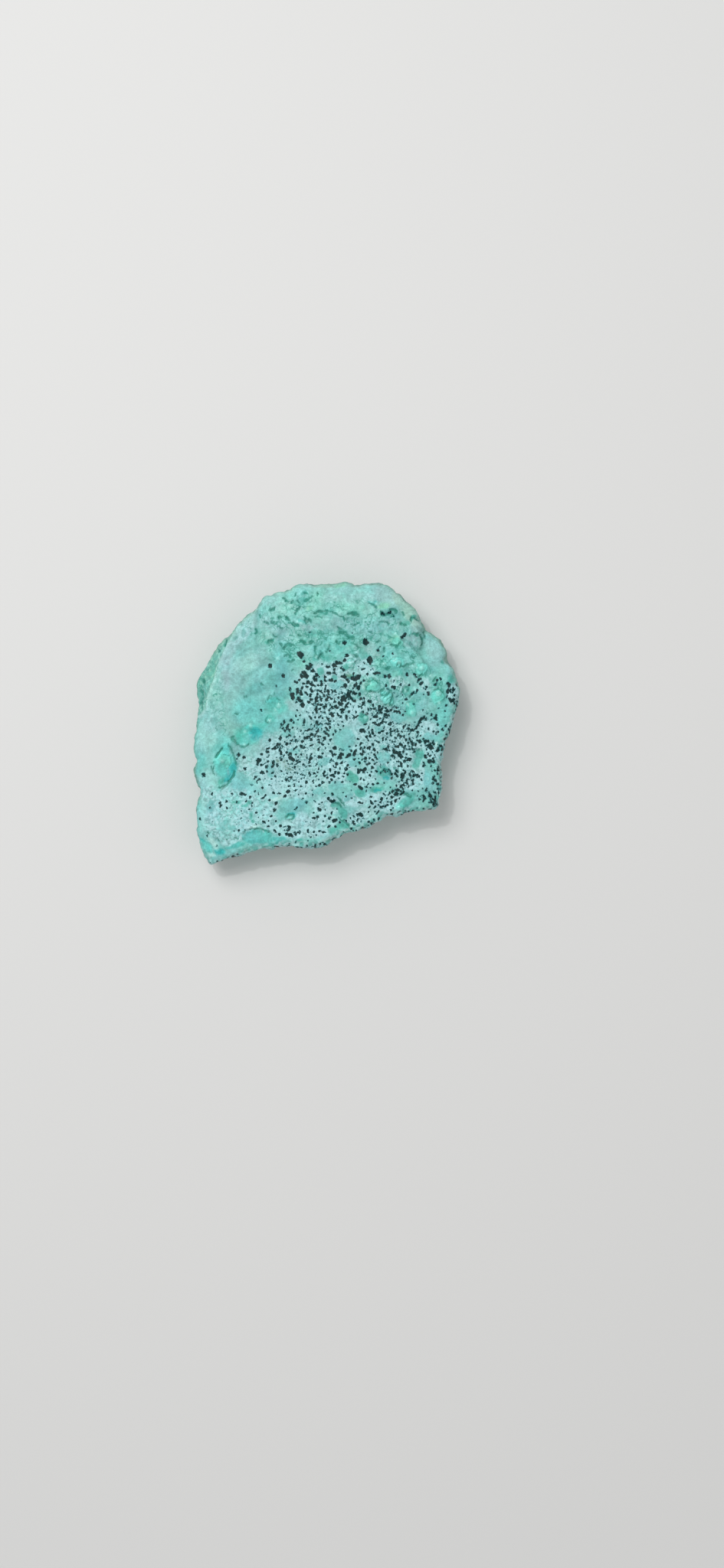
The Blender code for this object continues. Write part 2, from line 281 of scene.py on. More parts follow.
def slab_mesh():
    """(places of the slab's points, its faces): face, side, the rings under the rim, and the resting back."""
    share, angle = disc(FACE_CELLS)
    places = [face_place(1 - (1 - share) ** RIM_CROWDING, angle)]
    faces = grid_quads(FACE_CELLS).tolist()
    ring = border_walk(FACE_CELLS)
    round_angles = angle[ring]
    count = len(places[0])
    down = [(side_place(round_angles, row / SIDE_ROWS), 1) for row in range(1, SIDE_ROWS)]
    for back_share, step in [(1.0, 1)] + BACK_RINGS:
        some = round_angles[::step]
        down.append((back_place(np.full_like(some, back_share), some), step))
    for ring_places, step in down:
        below = count + np.arange(len(ring_places))
        places.append(ring_places)
        count += len(ring_places)
        faces += band(ring, below)
        ring = below
    share, angle = disc(BACK_CELLS)
    places.append(back_place(share * (BACK_RINGS[-1][0] - 0.05), angle))
    faces += band(ring, count + border_walk(BACK_CELLS))
    faces += (count + grid_quads(BACK_CELLS)[:, ::-1]).tolist()
    return np.concatenate(places), faces


slab_places, slab_faces = slab_mesh()
slab = bpy.data.meshes.new("slab")
slab.from_pydata((slab_places * MM).tolist(), [], slab_faces)
slab.shade_smooth()
outward = np.zeros(len(slab_places) * 3, np.float32)
slab.vertex_normals.foreach_get("vector", outward)
outward = outward.reshape(-1, 3)
x, y, z = slab_places.T
faces_up = smoothstep(0.05, 0.5, outward[:, 2])
side_on = smoothstep(0.75, 0.3, abs(outward[:, 2])) * smoothstep(0.5, 2.5, z)

# The crust: a lumpy skin round the top and the right, a rolled edge with a raised ridge down the left whose
# crest gets a painted highlight, and a faint crease beside the smooth area. The broken sides are rougher
# than any of it.
RIDGE_LINE = [
    (-19.8, 21.6), (-21.3, 18.8), (-22.6, 16.3), (-23.7, 14.3), (-24.4, 12.3), (-24.9, 9.8), (-25.9, 7.2),
    (-26.5, 5.0), (-26.9, 3.0), (-28.3, 1.4),
]
RIDGE_HEIGHT = 0.45
RIDGE_HALF_WIDTH = 0.7
CREASE_LINE = [(-15.9, 25.4), (-15.7, 22.5), (-15.6, 19.5), (-15.6, 16.8)]
CREASE_DEPTH = 0.2
CREASE_HALF_WIDTH = 0.9
LEDGE_LINES = [
    (0.3, [(17.2, 18.9), (19.3, 17.6), (21.2, 15.8), (22.4, 13.7)]),
    (0.2, [(20.9, 21.6), (22.3, 20.2), (22.0, 18.4), (21.4, 16.4)]),
    (0.1, [(-19.2, 8.3), (-18.0, 10.4), (-16.2, 11.4), (-14.0, 12.8)]),
    (0.1, [(-22.3, 12.9), (-20.9, 11.6), (-20.7, 10.2)]),
]
LEDGE_LINE_HALF_WIDTH = 0.6
LUMPY_ZONES = [
    (-1.0, 21.0, 17.0, 8.0, 0), (15.0, 15.0, 6.5, 9.0, 0), (12.0, 7.0, 8.0, 4.0, 0), (23.0, 7.5, 4.0, 5.5, 0),
    (-26.5, 10.0, 3.0, 14.0, 12),
]
CRUST_LUMPS = [(2.6, 0.16), (1.2, 0.1)]
COBBLE_SIZES = [(2.4, 0.2), (1.3, 0.09)]
FACE_GRAIN = [(4.0, 0.06), (0.9, 0.045)]
BROKEN_LUMPS = [(5.0, 0.45), (2.2, 0.3), (0.9, 0.18)]
RIND_COBBLES = [(2.4, 0.34), (1.3, 0.15)]
BROKEN_SIDES = (226, 375)
SIDE_FADE = 8
EDGE_JAGS = [(1.7, 0.3), (0.8, 0.2)]
EDGE_JAG_WIDTH = 1.6
BACK_GRAIN = [(2.4, 0.1), (0.9, 0.06)]
LINE_REACH = 1.5


def line_gap(line, x, y, reach=LINE_REACH):
    """Distance from a line of points, for the places near it, and reach for all others."""
    line = np.array(line)
    found = np.full_like(x, reach)
    low, high = line.min(0) - reach, line.max(0) + reach
    near = np.flatnonzero((x > low[0]) & (x < high[0]) & (y > low[1]) & (y < high[1]) & (faces_up > 0.01))
    for start, end in zip(line, line[1:]):
        run = end - start
        away = np.stack([x[near], y[near]], -1) - start
        along = np.clip(away @ run / (run @ run), 0, 1)
        away -= along[:, None] * run
        found[near] = np.minimum(found[near], np.hypot(*away.T))
    return found


def zone(form, softness=0.25):
    """1 inside a zone of the face and 0 outside it, with a ragged border."""
    return smoothstep(1 + softness, 1 - softness, form_share(form, ragged_x, ragged_y)) * faces_up


def most(shares):
    return np.max(list(shares), axis=0)


def between(low, high, degrees, fade):
    return smoothstep(low - fade, low + fade, degrees) * smoothstep(high + fade, high - fade, degrees)


def cobbles(size):
    """(height of each place on its rounded cobble, how near it is to the crevice round it), from 0 to 1."""
    places = np.stack([ragged_x, ragged_y, z], -1) / size
    cells = [noise.voronoi(Vector(p))[0][:2] for p in places.tolist()]
    nearest, next_nearest = np.array(cells).T
    return np.clip(1 - 1.5 * nearest**2, 0, 1), smoothstep(0.22, 0, next_nearest - nearest)


def roughness_of(grain):
    return sum(height * lumps(slab_places, size, 20.0) for size, height in grain)


ragged_x = x + 0.45 * lumps(slab_places, 2.4, 3.0) + 0.3 * lumps(slab_places, 1.0, 4.0)
ragged_y = y + 0.45 * lumps(slab_places, 2.4, 8.0) + 0.3 * lumps(slab_places, 1.0, 9.0)
edge_x, edge_y = (x + ragged_x) / 2, (y + ragged_y) / 2
ridge = smoothstep(RIDGE_HALF_WIDTH, 0, line_gap(RIDGE_LINE, edge_x, edge_y))
crease = smoothstep(CREASE_HALF_WIDTH, 0, line_gap(CREASE_LINE, edge_x, edge_y))
ledge_step = most(
    depth * smoothstep(LEDGE_LINE_HALF_WIDTH, 0, line_gap(line, edge_x, edge_y)) for depth, line in LEDGE_LINES
)
lumpy = most(zone(form, 0.3) for form in LUMPY_ZONES)
under = smoothstep(0.0, -0.5, outward[:, 2])
round_angle = np.arctan2(y, x) % math.tau
round_degrees = np.degrees(round_angle)
rim_gap = rim_radius(round_angle) - np.hypot(x, y)
broken = most(between(*BROKEN_SIDES, round_degrees + turn, SIDE_FADE) for turn in (0, 360))
relief = RIDGE_HEIGHT * ridge - CREASE_DEPTH * crease - ledge_step
relief += roughness_of(FACE_GRAIN) * faces_up + roughness_of(CRUST_LUMPS) * lumpy
rind = side_on * (1 - broken)
crevice, cobble_top = np.zeros((2, len(x)))
for (cobble_size, cobble_height), (_, rind_height) in zip(COBBLE_SIZES, RIND_COBBLES):
    rounded, gap = cobbles(cobble_size)
    relief += (rounded - 0.5) * np.maximum(cobble_height * lumpy, rind_height * rind)
    crevice = np.maximum(crevice, gap * np.maximum(lumpy, rind))
    cobble_top = np.maximum(cobble_top, rounded**2 * lumpy)
relief += roughness_of(EDGE_JAGS) * smoothstep(EDGE_JAG_WIDTH, 0.2, rim_gap) * broken * (1 - under)
relief += roughness_of(BROKEN_LUMPS) * side_on + roughness_of(BACK_GRAIN) * under * smoothstep(0, 1.0, z)

# The pits: short worm-like grooves in the crust and round the green knobs, where the mineral shrank as it
# set. They are green inside. As (half width, the middle line of the groove).
WORM_PITS = [
    (0.25, [(-9.0, 23.9), (-8.3, 23.2)]), (0.33, [(-7.6, 22.5), (-6.5, 21.9)]),
    (0.25, [(-6.0, 26.1), (-6.9, 24.8)]),
    (0.14, [(-9.3, 27.5), (-8.5, 27.3)]), (0.2, [(-7.9, 27.1), (-7.3, 27.4)]), (0.12, [(-6.5, 27.6), (-6.0, 27.2)]),
    (0.24, [(-4.9, 27.6), (-4.0, 27.8), (-3.3, 28.7)]), (0.25, [(-4.7, 29.4), (-4.2, 29.1)]),
    (0.3, [(-12.5, 25.5), (-11.7, 25.8)]), (0.14, [(-12.3, 22.6), (-11.6, 21.8)]),
    (0.2, [(-10.7, 23.6), (-10.3, 23.9)]), (0.2, [(-4.4, 22.5), (-4.0, 23.2), (-3.4, 22.9)]),
    (0.2, [(-5.0, 23.8), (-4.6, 23.1)]), (0.22, [(1.5, 24.8), (2.3, 24.5), (3.3, 24.1)]),
    (0.14, [(3.4, 24.0), (4.3, 23.4), (3.9, 23.0)]), (0.38, [(5.2, 24.7), (6.2, 24.6), (7.1, 24.3)]),
    (0.2, [(-2.6, 24.8), (-1.1, 25.2), (0.4, 25.2)]), (0.15, [(-2.3, 24.0), (-1.1, 23.9)]),
    (0.22, [(9.7, 27.2), (10.5, 26.8), (11.4, 26.0)]),
    (0.28, [(12.4, 25.1), (12.8, 24.4), (13.4, 24.3), (14.1, 24.8)]),
    (0.2, [(14.3, 25.4), (15.4, 25.7), (15.8, 25.0)]), (0.36, [(14.7, 24.2), (14.9, 24.4)]),
    (0.17, [(18.9, 23.1), (19.4, 24.1), (20.2, 23.5), (20.9, 23.1)]),
    (0.35, [(19.7, 20.1), (20.5, 19.9)]), (0.2, [(21.2, 19.9), (21.7, 18.7), (21.4, 17.4)]),
    (0.15, [(22.2, 20.6), (22.2, 19.2)]),
    (0.33, [(3.2, 20.4), (4.0, 20.4), (4.7, 19.9), (5.1, 19.2), (6.2, 19.1)]),
    (0.14, [(2.5, 21.7), (3.5, 21.1)]), (0.36, [(-5.7, 18.4), (-4.4, 17.9), (-3.3, 18.2)]),
    (0.5, [(-12.9, 18.4), (-12.4, 18.5)]),
    (0.17, [(-9.7, 16.5), (-9.2, 17.5), (-8.1, 17.9), (-7.3, 17.2)]),
    (0.18, [(0.1, 16.1), (0.5, 17.1), (0.9, 17.7)]),
    (0.22, [(-2.5, 17.1), (-2.6, 15.7), (-1.8, 14.5), (-0.9, 15.5)]),
    (0.17, [(12.9, 16.9), (13.2, 16.0)]), (0.17, [(14.7, 17.5), (16.2, 17.2), (16.7, 18.2)]),
    (0.28, [(6.2, 15.2), (7.1, 14.9), (7.4, 14.2), (6.9, 13.7)]),
    (0.2, [(17.4, 12.8), (18.2, 13.2), (19.5, 13.2)]), (0.18, [(5.7, 22.3), (6.5, 21.9), (7.4, 22.7)]),
    (0.14, [(11.7, 22.3), (12.4, 22.8), (13.3, 23.0), (14.1, 22.3)]),
    (0.25, [(16.9, 22.4), (17.9, 22.1)]), (0.2, [(-8.7, 13.9), (-7.9, 13.6), (-7.2, 14.2)]),
    (0.14, [(-7.8, 11.7), (-7.3, 11.9)]), (0.26, [(-21.1, -3.2), (-21.0, -4.0), (-20.2, -4.7)]),
    (0.15, [(-20.1, -4.7), (-19.3, -5.3), (-18.1, -5.4), (-17.3, -4.7)]),
    (0.16, [(-25.0, -7.7), (-24.3, -6.7), (-23.3, -5.6)]),
    (0.22, [(-22.0, -4.9), (-21.3, -6.3), (-20.8, -8.1), (-20.3, -9.5)]),
    (0.14, [(-25.9, -9.9), (-25.3, -11.7)]), (0.18, [(-24.1, -14.7), (-22.8, -14.1), (-21.6, -13.2)]),
    (0.2, [(9.5, 8.5), (9.8, 9.5), (10.7, 9.9), (11.7, 9.2)]), (0.25, [(9.9, 7.0), (10.9, 6.7)]),
    (0.18, [(11.9, 6.9), (13.0, 7.7)]), (0.2, [(11.6, 5.7), (12.4, 6.2)]),
    (0.17, [(12.5, 6.2), (13.7, 6.6), (14.5, 7.2)]), (0.2, [(14.2, 4.2), (14.9, 5.5)]),
    (0.2, [(17.2, 7.0), (17.3, 8.0), (18.2, 8.3), (18.6, 7.5), (18.0, 6.8)]),
    (0.22, [(18.9, 6.2), (19.5, 6.9)]), (0.33, [(7.8, 1.5), (8.5, 2.4), (9.3, 1.8)]),
    (0.22, [(12.4, -11.2), (13.3, -10.5), (14.1, -10.9), (14.8, -11.8)]),
    (0.16, [(2.3, -16.8), (3.3, -17.5), (4.2, -18.7)]), (0.2, [(2.9, -21.5), (4.3, -22.3), (5.3, -23.3)]),
    (0.18, [(-8.9, -21.3), (-8.5, -20.6), (-7.7, -20.6), (-7.3, -21.3), (-7.7, -21.9), (-8.6, -21.8)]),
    (0.3, [(-22.7, 18.6), (-23.1, 17.4)]), (0.33, [(-24.2, 16.4), (-24.4, 16.1)]),
    (0.2, [(-27.9, 9.9), (-27.4, 8.9)]), (0.22, [(-28.0, 7.3), (-28.3, 4.9), (-28.1, 2.9)]),
    (0.22, [(-15.8, 20.9), (-15.8, 20.3)]), (0.18, [(-14.9, 24.3), (-14.8, 23.7)]),
    (0.2, [(16.2, -11.0), (15.2, -10.0)]), (0.25, [(15.9, 13.2), (16.6, 13.3), (16.9, 12.6)]),
    (0.1, [(9.0, 7.2), (8.9, 8.6), (9.6, 9.6), (10.6, 9.9), (11.5, 9.3)]),
    (0.12, [(11.9, 6.4), (12.2, 5.2), (13.0, 4.2), (14.4, 4.0)]), (0.1, [(15.2, 5.6), (14.9, 6.8), (14.0, 7.5)]),
    (0.06, [(12.4, 6.2), (13.2, 7.1)]), (0.08, [(12.8, 5.6), (14.0, 6.6)]), (0.04, [(13.4, 5.0), (14.4, 5.8)]), (0.17, [(24.3, 7.3), (25.4, 7.8), (26.2, 7.0)]),
    (0.22, [(-20.5, -10.8), (-21.2, -12.4), (-22.4, -13.8), (-23.2, -14.8)]), (0.06, [(-25.3, -8.9), (-25.3, -10.4)]),
    (0.0, [(-24.0, -8.2), (-23.5, -7.2), (-22.6, -6.9), (-21.7, -7.5), (-21.4, -8.8), (-21.8, -10.0), (-22.9, -10.5)]),
    (0.06, [(-13.6, 4.6), (-12.8, 5.9), (-11.6, 6.6)]), (0.12, [(-11.0, 5.4), (-10.2, 5.2)]),
    (0.06, [(-13.2, 1.4), (-13.5, 0.4), (-12.7, -0.2)]), (0.17, [(-22.6, -26.2), (-21.9, -26.8)]),
    (0.17, [(-20.4, -25.6), (-19.8, -26.3)]), (0.17, [(-24.8, -25.9), (-24.2, -26.6)]), (0.2, [(-26.9, -24.4), (-26.3, -25.0)]),
    (0.17, [(-18.6, -24.6), (-16.8, -23.9), (-14.6, -23.8), (-13.0, -24.6)]), (0.2, [(1.6, -17.9), (2.6, -18.0), (3.2, -18.9)]),
    (0.22, [(16.4, -16.2), (17.8, -15.9), (19.2, -16.6)]), (0.2, [(19.8, -6.4), (20.6, -5.9), (21.6, -6.2)]),
    (0.17, [(-9.6, 28.2), (-8.9, 27.7)]), (0.17, [(-7.2, 28.9), (-6.7, 29.5)]), (0.2, [(-10.4, 21.6), (-9.9, 21.1)]),
    (0.15, [(-13.9, 22.9), (-13.4, 22.5)]), (0.15, [(-11.8, 19.7), (-11.1, 19.4)]), (0.17, [(-6.4, 19.9), (-5.8, 19.5)]),
    (0.2, [(-9.4, 14.9), (-8.6, 15.5), (-8.0, 15.0)]), (0.17, [(-10.6, 17.9), (-10.1, 17.5)]), (0.2, [(-1.9, 29.3), (-1.8, 28.8)]),
    (0.17, [(2.2, 18.3), (3.0, 17.8)]), (0.17, [(6.6, 17.4), (7.4, 17.0)]), (0.15, [(9.6, 20.6), (10.6, 20.2)]),
    (0.17, [(17.2, 24.9), (17.6, 24.2)]), (0.17, [(11.4, 18.2), (12.2, 18.4)]), (0.2, [(13.6, 12.2), (14.4, 12.5)]),
    (0.17, [(19.2, 14.9), (20.0, 14.6)]), (0.2, [(20.9, 10.6), (21.6, 10.9)]), (0.2, [(24.0, 9.6), (24.8, 10.3)]),
    (0.15, [(-18.4, 6.0), (-17.8, 5.9)]), (0.14, [(-14.8, 8.9), (-14.2, 8.7)]), (0.14, [(-20.4, 2.2), (-19.9, 2.0)]),
]
PIT_DEPTH = 0.28
PIT_LIP = 0.08

wander_x = x + 0.2 * lumps(slab_places, 0.75, 13.0)
wander_y = y + 0.2 * lumps(slab_places, 0.75, 18.0)
frayed_x, frayed_y = 2 * wander_x - x, 2 * wander_y - y
pit_gap = most(0.05 + 0.9 * half_width - line_gap(line, frayed_x, frayed_y) for half_width, line in WORM_PITS)
pit = smoothstep(-0.12, 0.16, pit_gap)
relief += PIT_LIP * smoothstep(-0.5, -0.2, pit_gap) * (1 - pit) - PIT_DEPTH * pit

# The colours: blue-green copper silicate, milky where it is mixed with white clay, deep green where it is
# pure; a few rows are painted shade and painted glints instead, as marked. Each row of zones is laid over
# the rows before it, as a colour, its strength, how soft the borders are, and where: (x, y, half length,
# half width, turn).
TEAL = (0.225, 0.595, 0.565)
COLOUR_ZONES = [
    ("top crust", (0.268, 0.7, 0.622), 0.9, 0.5, [(0.0, 27.8, 17.0, 5.0, 0)]),
    ("grey teal", (0.26, 0.56, 0.54), 0.8, 0.5, [
        (-23.0, 4.0, 4.5, 7.5, 0), (-14.5, 15.0, 4.0, 2.4, 20), (-20.5, 9.5, 3.0, 4.0, 0), (2.5, 22.5, 3.0, 2.0, 0),
        (-9.5, 20.5, 4.0, 2.2, 0), (16.0, 24.0, 3.5, 2.5, 0), (-1.0, 21.8, 1.6, 1.0, 0),
    ]),
    ("turquoise", (0.145, 0.58, 0.53), 0.8, 0.5, [
        (-17.5, 2.8, 3.8, 3.2, 0), (-24.5, -4.2, 3.4, 2.0, 0), (-28.3, -9.5, 1.4, 2.6, 0), (-14.0, -1.2, 4.4, 3.4, 20),
        (2.0, 17.0, 5.0, 3.0, 0), (-9.5, 15.5, 3.0, 2.6, 0), (13.0, 14.5, 6.0, 3.2, 0), (25.0, 3.0, 2.5, 6.5, 0),
    ]),
    ("deep teal", (0.1, 0.4, 0.378), 0.75, 0.6, [
        (-11.2, 9.6, 3.2, 2.2, 10), (-15.8, 7.6, 3.0, 1.4, 10), (22.4, 11.6, 2.4, 1.2, 0), (-9.8, 12.6, 1.6, 1.6, 0),
        (16.5, 11.5, 3.0, 0.9, 0), (15.2, 24.6, 2.4, 1.3, -25), (-10.2, 6.4, 1.8, 1.2, 0),
    ]),
    ("pale facet", (0.34, 0.69, 0.66), 0.8, 0.35, [
        (-18.4, 22.4, 2.6, 2.6, 40), (-12.5, 28.2, 3.0, 1.4, 20), (-17.5, 13.4, 3.0, 1.7, 20), (-9.0, 26.0, 3.0, 1.6, 0),
        (-13.5, 21.5, 2.0, 2.6, 0), (8.0, 27.9, 3.6, 1.4, 0), (1.0, 28.0, 2.8, 1.0, 0), (-20.8, 12.0, 1.0, 3.0, -25),
        (-26.8, -2.4, 2.4, 3.8, -10), (-26.8, -13.0, 2.2, 2.4, 0),
        (24.2, 16.9, 2.3, 1.7, -40), (9.2, 10.8, 2.4, 1.8, 0), (-27.0, -20.0, 1.6, 4.0, -10),
    ]),
    ("blue facet", (0.39, 0.71, 0.72), 1.5, 0.14, [(-18.7, 20.8, 3.8, 1.8, 52), (-17.2, 23.4, 1.7, 1.0, 50)]),
    # Partly painted shade: the long spots at (-15.3, 21.0) and (-15.1, 24.4) beside the crease, and the one at (-18.4,
    # 16.0) on a grey facet; the others are the stone's own darker spots.
    ("facet spots", (0.18, 0.47, 0.45), 1.2, 0.3, [
        (-18.5, 20.5, 0.8, 0.6, 60), (-20.7, 19.2, 0.7, 0.5, 50), (-19.4, 22.3, 0.4, 0.3, 0), (-21.6, 17.0, 0.35, 0.3, 0),
        (-15.3, 21.0, 0.5, 1.7, 8), (-15.1, 24.4, 0.5, 1.5, -10), (-18.4, 16.0, 1.5, 0.5, 30),
    ]),
    # Partly painted shade: the rows at (-16.2, 23.2) in the crease and at (19.2, 18.6) on the rounded edge above the
    # right ledge; the others are the stone's own bluish grey.
    ("lilac grey", (0.32, 0.56, 0.57), 0.8, 0.4, [
        (-22.2, 15.2, 1.4, 3.4, -25), (-22.9, 9.8, 1.3, 2.6, 0), (-16.2, 23.2, 0.8, 1.6, 0), (19.2, 18.6, 2.8, 1.7, -20),
        (20.4, 21.6, 1.4, 1.8, 0), (-7.2, 3.9, 2.3, 1.1, -15), (13.5, 28.8, 3.2, 2.2, -30), (8.8, 16.8, 2.4, 1.6, 0),
        (11.2, 15.6, 1.4, 1.2, 0), (-4.6, 21.6, 1.8, 1.0, 0),
    ]),
    ("sand", (0.38, 0.6, 0.5), 0.6, 0.4, [(19.2, 24.6, 1.6, 3.6, 30), (16.8, 27.8, 2.4, 1.4, -40), (-1.0, 31.0, 2.6, 0.5, 0)]),
    ("shade", (0.17, 0.42, 0.385), 0.55, 0.5, [
        (-19.0, 17.6, 1.6, 1.0, 30), (-13.6, 14.2, 2.0, 0.9, 0), (22.6, 13.4, 1.6, 0.7, 0), (21.4, 18.9, 0.6, 2.0, 0), (-19.8, -0.8, 1.4, 0.8, -30), (-21.2, -1.8, 0.8, 1.8, 10),
        (-20.4, -6.0, 1.0, 1.3, -20), (-15.4, -5.4, 1.8, 1.2, 10),
    ]),
    ("white matrix", (0.425, 0.74, 0.75), 0.75, 0.3, [
        (0.5, 9.2, 7.0, 4.4, 0), (1.5, 3.0, 7.5, 4.5, 0), (-6.0, -6.5, 9.0, 5.0, 0), (-10.8, -9.8, 5.8, 4.2, 0),
        (12.5, -3.5, 8.0, 4.5, 0), (15.0, -8.5, 6.5, 4.0, 0), (-7.0, -13.5, 8.0, 3.6, 0), (1.5, -11.0, 6.0, 3.0, 0),
        (-17.5, -9.8, 2.4, 2.8, 0), (-21.0, -17.5, 6.5, 2.8, 0), (-14.5, -19.5, 4.5, 4.0, 0), (-20.5, -22.0, 7.0, 2.6, 0),
        (-26.3, -16.8, 2.0, 2.6, 0), (-4.0, -22.6, 6.5, 2.4, 0), (-6.0, -24.6, 6.0, 1.4, 0), (13.0, -17.6, 4.6, 2.2, 0),
        (7.6, -21.0, 3.6, 1.5, 15), (18.6, -13.8, 3.0, 1.4, 0), (21.2, -12.0, 1.2, 2.6, 0), (28.5, 6.4, 1.2, 2.2, 0),
        (22.8, -1.4, 2.6, 2.0, 0), (6.8, 3.6, 2.4, 1.8, 0), (8.6, 12.4, 2.6, 2.2, 0), (12.0, 1.5, 4.5, 3.0, 0),
        (16.5, 8.6, 2.2, 1.6, -30), (22.2, 8.0, 1.2, 2.0, 0), (20.6, -5.2, 2.0, 0.9, 0), (23.6, -6.2, 1.4, 2.4, 0),
        (18.2, -10.6, 3.0, 1.6, 0), (8.6, -12.6, 2.6, 2.0, 0), (5.4, 13.8, 1.8, 1.6, 0), (0.0, -18.8, 3.4, 2.0, 0),
        (6.8, -17.4, 3.0, 1.6, 0), (-24.6, -22.8, 3.0, 3.4, 0), (-12.0, -23.6, 3.0, 1.2, 0), (9.8, 5.2, 2.6, 1.8, 0), (-21.5, -26.2, 3.0, 1.4, 10),
    ]),
    ("dim matrix", (0.29, 0.53, 0.53), 0.4, 0.6, [
        (15.5, -1.2, 6.0, 4.0, 0), (-8.0, -5.5, 6.5, 4.4, 10), (0.5, 10.2, 3.0, 2.2, 0), (21.8, 2.4, 3.4, 4.4, 0),
        (-19.8, -9.6, 2.2, 2.6, 0), (10.2, -19.6, 3.2, 1.8, 15), (25.4, 15.0, 2.0, 1.8, 0), (3.0, 30.4, 6.0, 1.3, 0),
        (-14.5, -6.0, 2.6, 2.0, 0), (20.0, 9.6, 2.0, 1.6, 0), (6.4, 0.4, 2.0, 1.6, 0), (10.4, 25.2, 2.0, 1.4, 0),
    ]),
    ("pale turquoise", (0.25, 0.69, 0.68), 0.5, 0.6, [(-20.5, -20.0, 8.0, 7.0, 0)]),
    ("flat turquoise", (0.18, 0.55, 0.535), 0.85, 0.16, [
        (4.2, -3.5, 2.5, 2.1, 20), (4.2, -5.6, 1.3, 0.6, 0), (-0.4, -8.6, 1.7, 0.9, 20), (-7.4, -18.4, 3.1, 1.2, 8),
        (-9.0, -20.6, 2.5, 1.5, 0), (2.1, -14.2, 1.8, 1.0, 0), (-1.8, -15.5, 1.2, 0.9, 0), (-19.4, -13.2, 2.2, 2.0, 40),
        (-23.0, -22.6, 1.7, 0.9, 30), (-21.5, -23.6, 1.3, 0.6, -15), (-23.8, -24.0, 0.9, 0.6, 0),
        (-8.6, -2.3, 1.6, 0.8, 0), (-7.4, -6.2, 1.4, 0.8, 0), (-26.0, -18.6, 0.9, 1.6, 0),
        (13.0, -7.9, 1.9, 1.4, 0), (11.8, -1.4, 1.2, 0.9, 0), (1.8, 8.4, 1.4, 0.9, 0), (-1.2, 9.9, 1.0, 0.8, 0),
        (3.2, 9.0, 1.4, 0.7, -20), (-1.6, -0.6, 0.9, 0.7, 0), (16.0, 1.4, 2.0, 1.4, 0), (-12.6, -10.8, 1.0, 1.8, 0),
        (6.2, -9.0, 1.2, 0.7, 0), (5.2, -16.6, 1.2, 0.7, 30), (23.4, -3.2, 1.6, 0.8, 0), (21.0, 5.2, 1.6, 2.4, 0),
        (22.7, -12.8, 0.8, 1.9, 0), (12.9, -5.4, 0.9, 0.7, 0), (-21.8, -12.6, 1.2, 0.9, 30),
    ]),
    ("deep mound", (0.09, 0.52, 0.48), 0.85, 0.16, [
        (-15.6, -25.6, 3.5, 1.7, 5), (-11.2, -26.6, 2.4, 0.8, 10), (-8.1, -21.2, 1.3, 0.7, 0), (-20.4, -27.8, 2.4, 0.6, 12),
    ]),
    ("green", (0.075, 0.44, 0.365), 0.85, 0.28, [
        (-11.9, 5.2, 1.3, 0.7, 20), (-19.6, -3.6, 0.9, 1.1, 20), (-13.2, 0.2, 0.7, 0.6, 0), (8.4, 1.1, 1.2, 1.0, 30),
        (18.2, 7.3, 1.1, 1.1, 0), (18.9, 3.5, 1.0, 2.1, -20), (18.0, -17.8, 2.9, 1.1, 42), (28.2, 9.9, 1.0, 0.9, 0), (26.2, 13.7, 0.5, 0.5, 0),
        (21.0, -7.2, 1.2, 1.0, 0), (20.3, -9.0, 0.8, 1.3, -20), (12.9, -10.9, 1.7, 1.3, -30), (6.4, -12.6, 1.3, 1.0, -50), (8.0, -16.0, 1.0, 0.8, 0), (11.3, -15.0, 1.5, 0.6, 5),
        (3.6, -19.8, 2.3, 0.8, -65), (2.2, -18.4, 1.2, 0.6, 20), (-5.8, -26.7, 0.9, 0.7, 0), (-16.9, -20.9, 0.45, 0.7, -10), (-16.5, -22.0, 0.45, 0.5, 20),
        (-20.1, -18.0, 1.0, 0.5, 0), (-18.5, -18.5, 0.8, 0.4, 25), (-17.5, -17.8, 0.6, 0.35, -10), (-23.2, -13.2, 1.3, 0.7, 30), (4.4, 12.4, 0.9, 0.5, 60), (5.6, -12.0, 0.8, 1.4, 20),
        (-6.0, 27.5, 2.0, 0.8, 10), (-4.6, 29.3, 0.9, 0.5, 0), (6.0, 24.7, 1.3, 0.5, -10), (3.4, 20.6, 1.2, 0.5, 0),
        (5.4, 19.4, 1.2, 0.5, 0), (-4.4, 18.2, 1.5, 0.7, -15), (-1.9, 15.2, 0.9, 1.3, -20), (-2.3, 16.8, 0.6, 0.8, 0),
        (-12.7, 18.4, 1.0, 0.6, 10), (0.4, 14.6, 1.6, 1.1, 0), (-9.0, 17.0, 1.2, 0.9, 0), (0.0, 24.9, 1.8, 0.5, 20),
        (-2.0, 20.0, 1.6, 1.0, 0), (17.8, 22.4, 1.0, 0.5, 0), (19.6, 23.8, 0.9, 0.5, 20), (12.4, 10.8, 1.6, 0.5, 0),
        (16.2, 11.0, 1.4, 0.8, 0), (8.2, 15.6, 0.8, 1.4, 20), (1.9, 10.3, 0.7, 0.6, 0), (5.0, 10.7, 1.2, 0.6, 0),
        (-1.4, 11.6, 0.9, 0.9, 0), (3.6, -23.4, 1.8, 1.2, 20),
        (1.4, -24.4, 1.0, 0.9, 0), (7.4, -15.8, 0.8, 1.2, 0),
    ]),
    ("soft green", (0.1, 0.56, 0.48), 0.75, 0.5, [
        (-18.9, -2.5, 1.8, 1.5, 0), (-17.2, -1.3, 1.8, 0.9, 20), (-17.5, -4.3, 2.1, 0.8, 10), (-11.5, 4.2, 2.3, 1.7, -10),
        (-9.9, 3.2, 1.3, 0.9, 30), (-12.7, 1.0, 1.4, 1.1, 0), (-14.4, -0.6, 1.2, 0.7, 30),
    ]),
